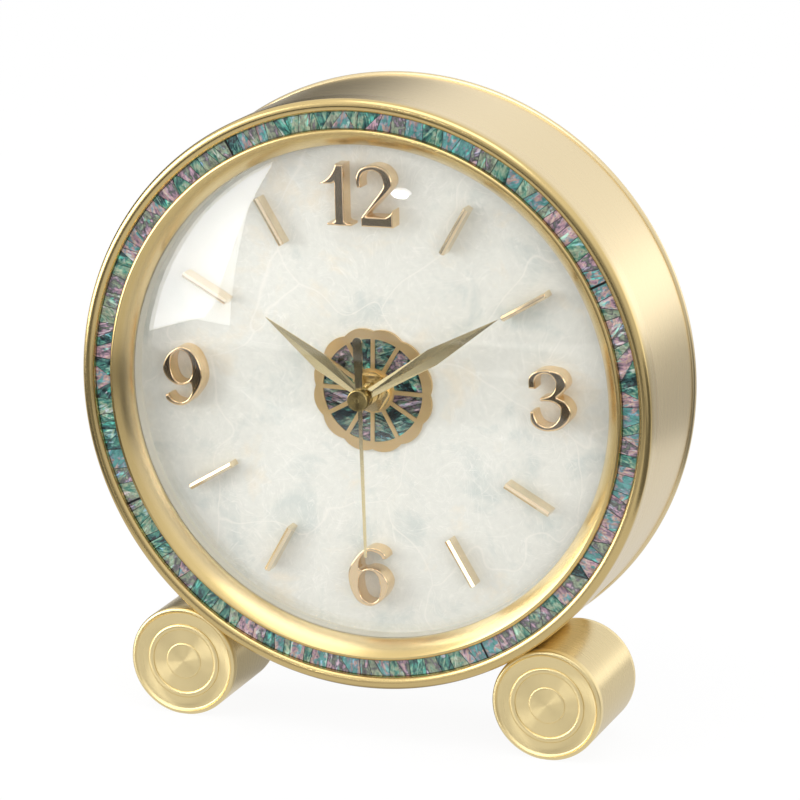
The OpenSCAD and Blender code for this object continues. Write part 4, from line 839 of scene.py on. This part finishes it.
# Raised figure whose face swells from its outline, as on a tumbled casting. It takes the grid cells that
# touch the figure; corners outside it move to the outline. With d the distance from the outline, the face
# stands at h(d) = rise sqrt(1 - (1 - min(d, reach) / reach)^2) above its shoulder.
def makeFigure(name, nodeName, p, material):
    segments, front, back = frontOutline(nodeName)
    low, high = segments.min((0, 1)) - p["step"], segments.max((0, 1)) + p["step"]
    xs, zs = (np.arange(low[k], high[k] + p["step"], p["step"]) for k in (0, 1))
    grid = np.stack(np.meshgrid(xs, zs, indexing="ij"), -1).reshape(-1, 2)
    gap, inside, near = outlineDistance(segments, grid)
    faces = gridFaces(len(xs), len(zs))
    faces = faces[inside[faces].any(1)]
    used, places = np.unique(faces, return_inverse=True)
    faces = places.reshape(-1, 4)
    flat = np.where(inside[used, None], grid[used], near[used])
    depth = np.where(inside[used], np.minimum(gap[used], p["reach"]) / p["reach"], 0)
    height = front + p["rise"] * (1 - np.sqrt(1 - (1 - depth) ** 2))
    count = len(flat)
    top = np.stack([flat[:, 0], height, flat[:, 1]], -1)
    base = np.stack([flat[:, 0], np.full(count, back), flat[:, 1]], -1)
    sides = faces[:, [[0, 1], [1, 2], [2, 3], [3, 0]]].reshape(-1, 2)
    twice = np.isin(sides[:, 0] * count + sides[:, 1], sides[:, 1] * count + sides[:, 0])
    wall = sides[~twice]
    walls = np.stack([wall[:, 1], wall[:, 0], wall[:, 0] + count, wall[:, 1] + count], -1)
    faces = np.concatenate([faces, walls, faces[:, ::-1] + count])
    mesh = newMesh(name, np.concatenate([top, base]) * mm, faces)
    finishMesh(mesh, True, p["sharp"])
    placePiece(name, mesh, material, (nodeName,))


# The hour bars' own shape with narrow flat facets along its edges
def makeBars(p, material):
    mesh = joinedCopy("hourBars", "hour_bars", whole=True)
    mesh.shade_flat()
    bars = placePiece("hourBars", mesh, material, ("hour_bars",))
    bevel = bars.modifiers.new("broken edges", "BEVEL")
    bevel.width = p["edge"] * mm
    bevel.segments = 1
    bevel.limit_method = "ANGLE"
    bevel.angle_limit = math.radians(p["sharp"])
    bevel.use_clamp_overlap = True


paint("dial_veneer", whiteShell(dialLook))
rose = workedSurface(**roseBrass)
for pieceName, nodeName in figures.items():
    makeFigure(pieceName, nodeName, figureForm, rose)
makeBars(barForm, workedSurface(**roseBrassPaintedPale))
makeWindowShell(windowLook)
for finish, names in ((rosetteBrass, ("rosette",)), (nutBrass, ("dial_nut", "dial_washer", "threaded_bush")),
                      (handBrass, ("hour_hand", "minute_hand", "second_hand"))):
    metal = workedSurface(**finish)
    for nodeName in names:
        paint(nodeName, metal)
print("dial and hands finished")


# Cap on the second hand: a flat turned button with a broken edge, bored from behind
capLow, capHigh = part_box("second_cap")
capForm = {
    "r": (capHigh[0] - capLow[0]) / 2 / mm, "front": capLow[1] / mm, "back": capHigh[1] / mm, "bore": 0.9,
    "boreShare": 0.25, "steps": 96,
    "edge": ((0, 0), (0.88, 0), (0.97, 0.08), (1, 0.22), (1, 1)),  # shares of radius and depth
}
# Turned button: concentric tool marks that spread a highlight into fans; its dark olive colour is painted
# shade, darker than the hand's brass
buttonBrassPaintedDark = {
    "name": "turned button brass", "colour": "A08E5E", "roughness": 0.24, "spread": 0.05,
    "lines": (6.0, 6.0), "height": 0.0015, "axis": (0, axisZ), "anisotropic": 0.95,
}


# From the middle of its face over the broken edge to the back, and into the bore
def handCapProfile(f):
    bore = f["boreShare"] * f["r"]
    face = np.array(f["edge"]) * [f["r"], f["back"] - f["front"]] + [0, f["front"]]
    floor = f["back"] - f["bore"]
    return np.concatenate([face, [[bore, f["back"]], [bore, floor], [0, floor]]])


turnedPiece("handCap", handCapProfile(capForm), capForm["steps"], workedSurface(**buttonBrassPaintedDark),
            ("second_cap",), body="seconds_arbor", closed=False, sharp=24)


# Feet: a brushed tube between two turned caps. Millimetres; ring and disc are shares of the foot's radius,
# and ringRise is a share of ringR.
capLook = {
    "edge": 1.2, "drop": 0.9, "ring": 0.63, "ringR": 0.9, "ringRise": 0.65, "disc": 0.33, "discT": 0.35,
    "discEdge": 0.7, "stepIn": 1.95, "stepW": 0.25, "stepH": 0.15, "capT": 2.5, "spigot": 2.5, "wall": 2.6,
    "flat": 0.25, "drumGap": 0.05, "steps": 144,
}
footLow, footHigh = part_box("foot_tube_right")
footR = (footHigh[0] - footLow[0]) / 2 / mm
footX = (footHigh[0] + footLow[0]) / 2
footAxisZ = (footR - capLook["flat"]) * mm
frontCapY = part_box("foot_front_caps")[0][1] / mm
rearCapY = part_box("foot_rear_caps")[1][1] / mm
# Spun cap: concentric tool marks that spread a highlight into fans
capBrass = {
    "colour": "F4DFA8", "roughness": 0.32, "spread": 0.05, "lines": (4.0, 4.0), "height": 0.0015,
    "anisotropic": 0.95,
}
# Brushed tube: lines run round it, and the lacquer is a little darker than the drum's
tubeBrass = {
    "name": "brushed tube brass", "colour": "E2CE9C", "roughness": 0.28, "spread": 0.04,
    "lines": (0.05, 7.0, 0.05), "height": 0.0003,
}


# Part of an ellipse from angle first down to 0: p(a) = centre + (wide cos a, high sin a)
def ellipsePoints(centre, wide, high, first, count):
    a = np.radians(np.linspace(first, 0, count))
    return np.stack([centre[0] + wide * np.cos(a), centre[1] + high * np.sin(a)], -1)


# Cap's outline from its middle to its back, as (radius, height above the tube's end): a disc with a
# rounded edge, a round ring, a small step and the rounded rim
def footCapOutline(f, r):
    face = f["capT"] - f["drop"]
    ring = f["ring"] * r
    disc = f["disc"] * r - f["discEdge"]
    step = r - f["stepIn"]
    bore = r - f["wall"]
    shoulder = ellipsePoints((disc, face), f["discEdge"], f["discT"], 90, 10)
    bead = ellipsePoints((ring, face), f["ringR"], f["ringRise"] * f["ringR"], 180, 15)
    edge = ellipsePoints((r - f["edge"], f["capT"] - f["edge"]), f["edge"], f["edge"], 90, 10)
    return np.concatenate([
        [[0, face + f["discT"]]], shoulder, bead, [[step, face], [step + f["stepW"], face + f["stepH"]]],
        edge, [[r, 0], [bore, 0], [bore, -f["spigot"]], [0, -f["spigot"]]]])


# Turned about its own axis, then held clear of the table (z >= 0) and of the drum, as the CAD's cap is cut
def makeFootCap(name, side, front, f, material, stands):
    outline = footCapOutline(f, footR)
    depth = frontCapY + f["capT"] - outline[:, 1] if front else rearCapY - f["capT"] + outline[:, 1]
    profile = np.stack([outline[:, 0], depth], -1)
    piece = turnedPiece(name, profile, f["steps"], material, stands,
                        axis=(side * footX, footAxisZ), closed=False, sharp=40)
    points = pointsOf(piece.data)
    points[:, 2] = np.maximum(points[:, 2], 0)
    out = np.hypot(points[:, 0], points[:, 2] - axisZ)
    push = np.maximum(1, (caseR + f["drumGap"] * mm) / out)
    points[:, 0] *= push
    points[:, 2] = axisZ + (points[:, 2] - axisZ) * push
    piece.data.vertices.foreach_set("co", points.reshape(-1))
    piece.data.update()


for side, sideName in ((-1, "Left"), (1, "Right")):
    capMetal = workedSurface("spun cap brass " + sideName.lower(), axis=(side * footX, footAxisZ), **capBrass)
    makeFootCap("frontCap" + sideName, side, True, capLook, capMetal, ("foot_front_caps",))
    makeFootCap("rearCap" + sideName, side, False, capLook, capMetal, ("foot_rear_caps",))
tube = workedSurface(**tubeBrass)
paint("foot_tube_left", tube)
paint("foot_tube_right", tube)
print("feet made")


# What the case holds, by material slot: name, colour, metallic, roughness, grain per millimetre, unevenness
innerFinishes = {
    "satin_brass": ("satin brass", "B2A98C", 1, 0.42, 3.0, 0.06),  # soft, even sheen
    "clear_rubber": ("clear silicone rubber", "D6D2C4", 0, 0.5, 2.0, 0.1),  # milky and dull
    "black_rubber": ("black rubber", "161616", 0, 0.7, 2.0, 0.1),  # dull black
    "board": ("fibreboard", "8A6D48", 0, 0.8, 1.2, 0.08),  # dry, matt brown
    "black_plastic": ("moulded ABS", "141415", 0, 0.42, 5.0, 0.12),  # fine grain of the mould
    "wheel_plastic": ("moulded acetal", "E8E6DC", 0, 0.35, 2.0, 0.06),  # waxy white
    "magnet": ("sintered magnet", "55555A", 1, 0.5, 4.0, 0.1),  # dark, dull metal
    "core_iron": ("stamped core iron", "A8AAAD", 1, 0.4, 2.0, 0.08),  # grey, soft sheen
    "copper": ("enamelled copper wire", "B4683A", 0.6, 0.3, 5.0, 0.1),  # glossy red lacquer
    "circuit_green": ("circuit board lacquer", "1F5A2C", 0, 0.3, 1.0, 0.05),  # smooth gloss
    "spring_steel": ("nickelled spring steel", "C9CBCF", 1, 0.28, 3.0, 0.08),  # bright, with fine lines
    "cell_can": ("cell sleeve", "2B3038", 0, 0.3, 0.4, 0.05),  # smooth, glossy sleeve
    "cover_black": ("satin black enamel", "111112", 0, 0.4, 0.8, 0.08),  # deep black, half gloss
    "screw_steel": ("plated steel", "D0D0D4", 1, 0.22, 4.0, 0.08),  # bright, almost a mirror
}
# Ring between the lens and the dial: coloured as pale as the dial
ringFinish = ("pale ring brass", "DEDCD0", 0, 0.5, 3.0, 0.05)


def innerFinish(name, colour, metallic, roughness, grain, spread):
    return workedSurface(name, colour, roughness, (grain,) * 3, spread, 0.01 / grain, metallic)


finished = {key: innerFinish(*value) for key, value in innerFinishes.items()}
for subpart in frame["record"]["subparts"]:
    if subpart["material_slot"] in finished and not nodes[subpart["node"]].hide_render:
        paint(subpart["node"], finished[subpart["material_slot"]])
paint("rehaut", innerFinish(*ringFinish))
print("inner pieces finished")
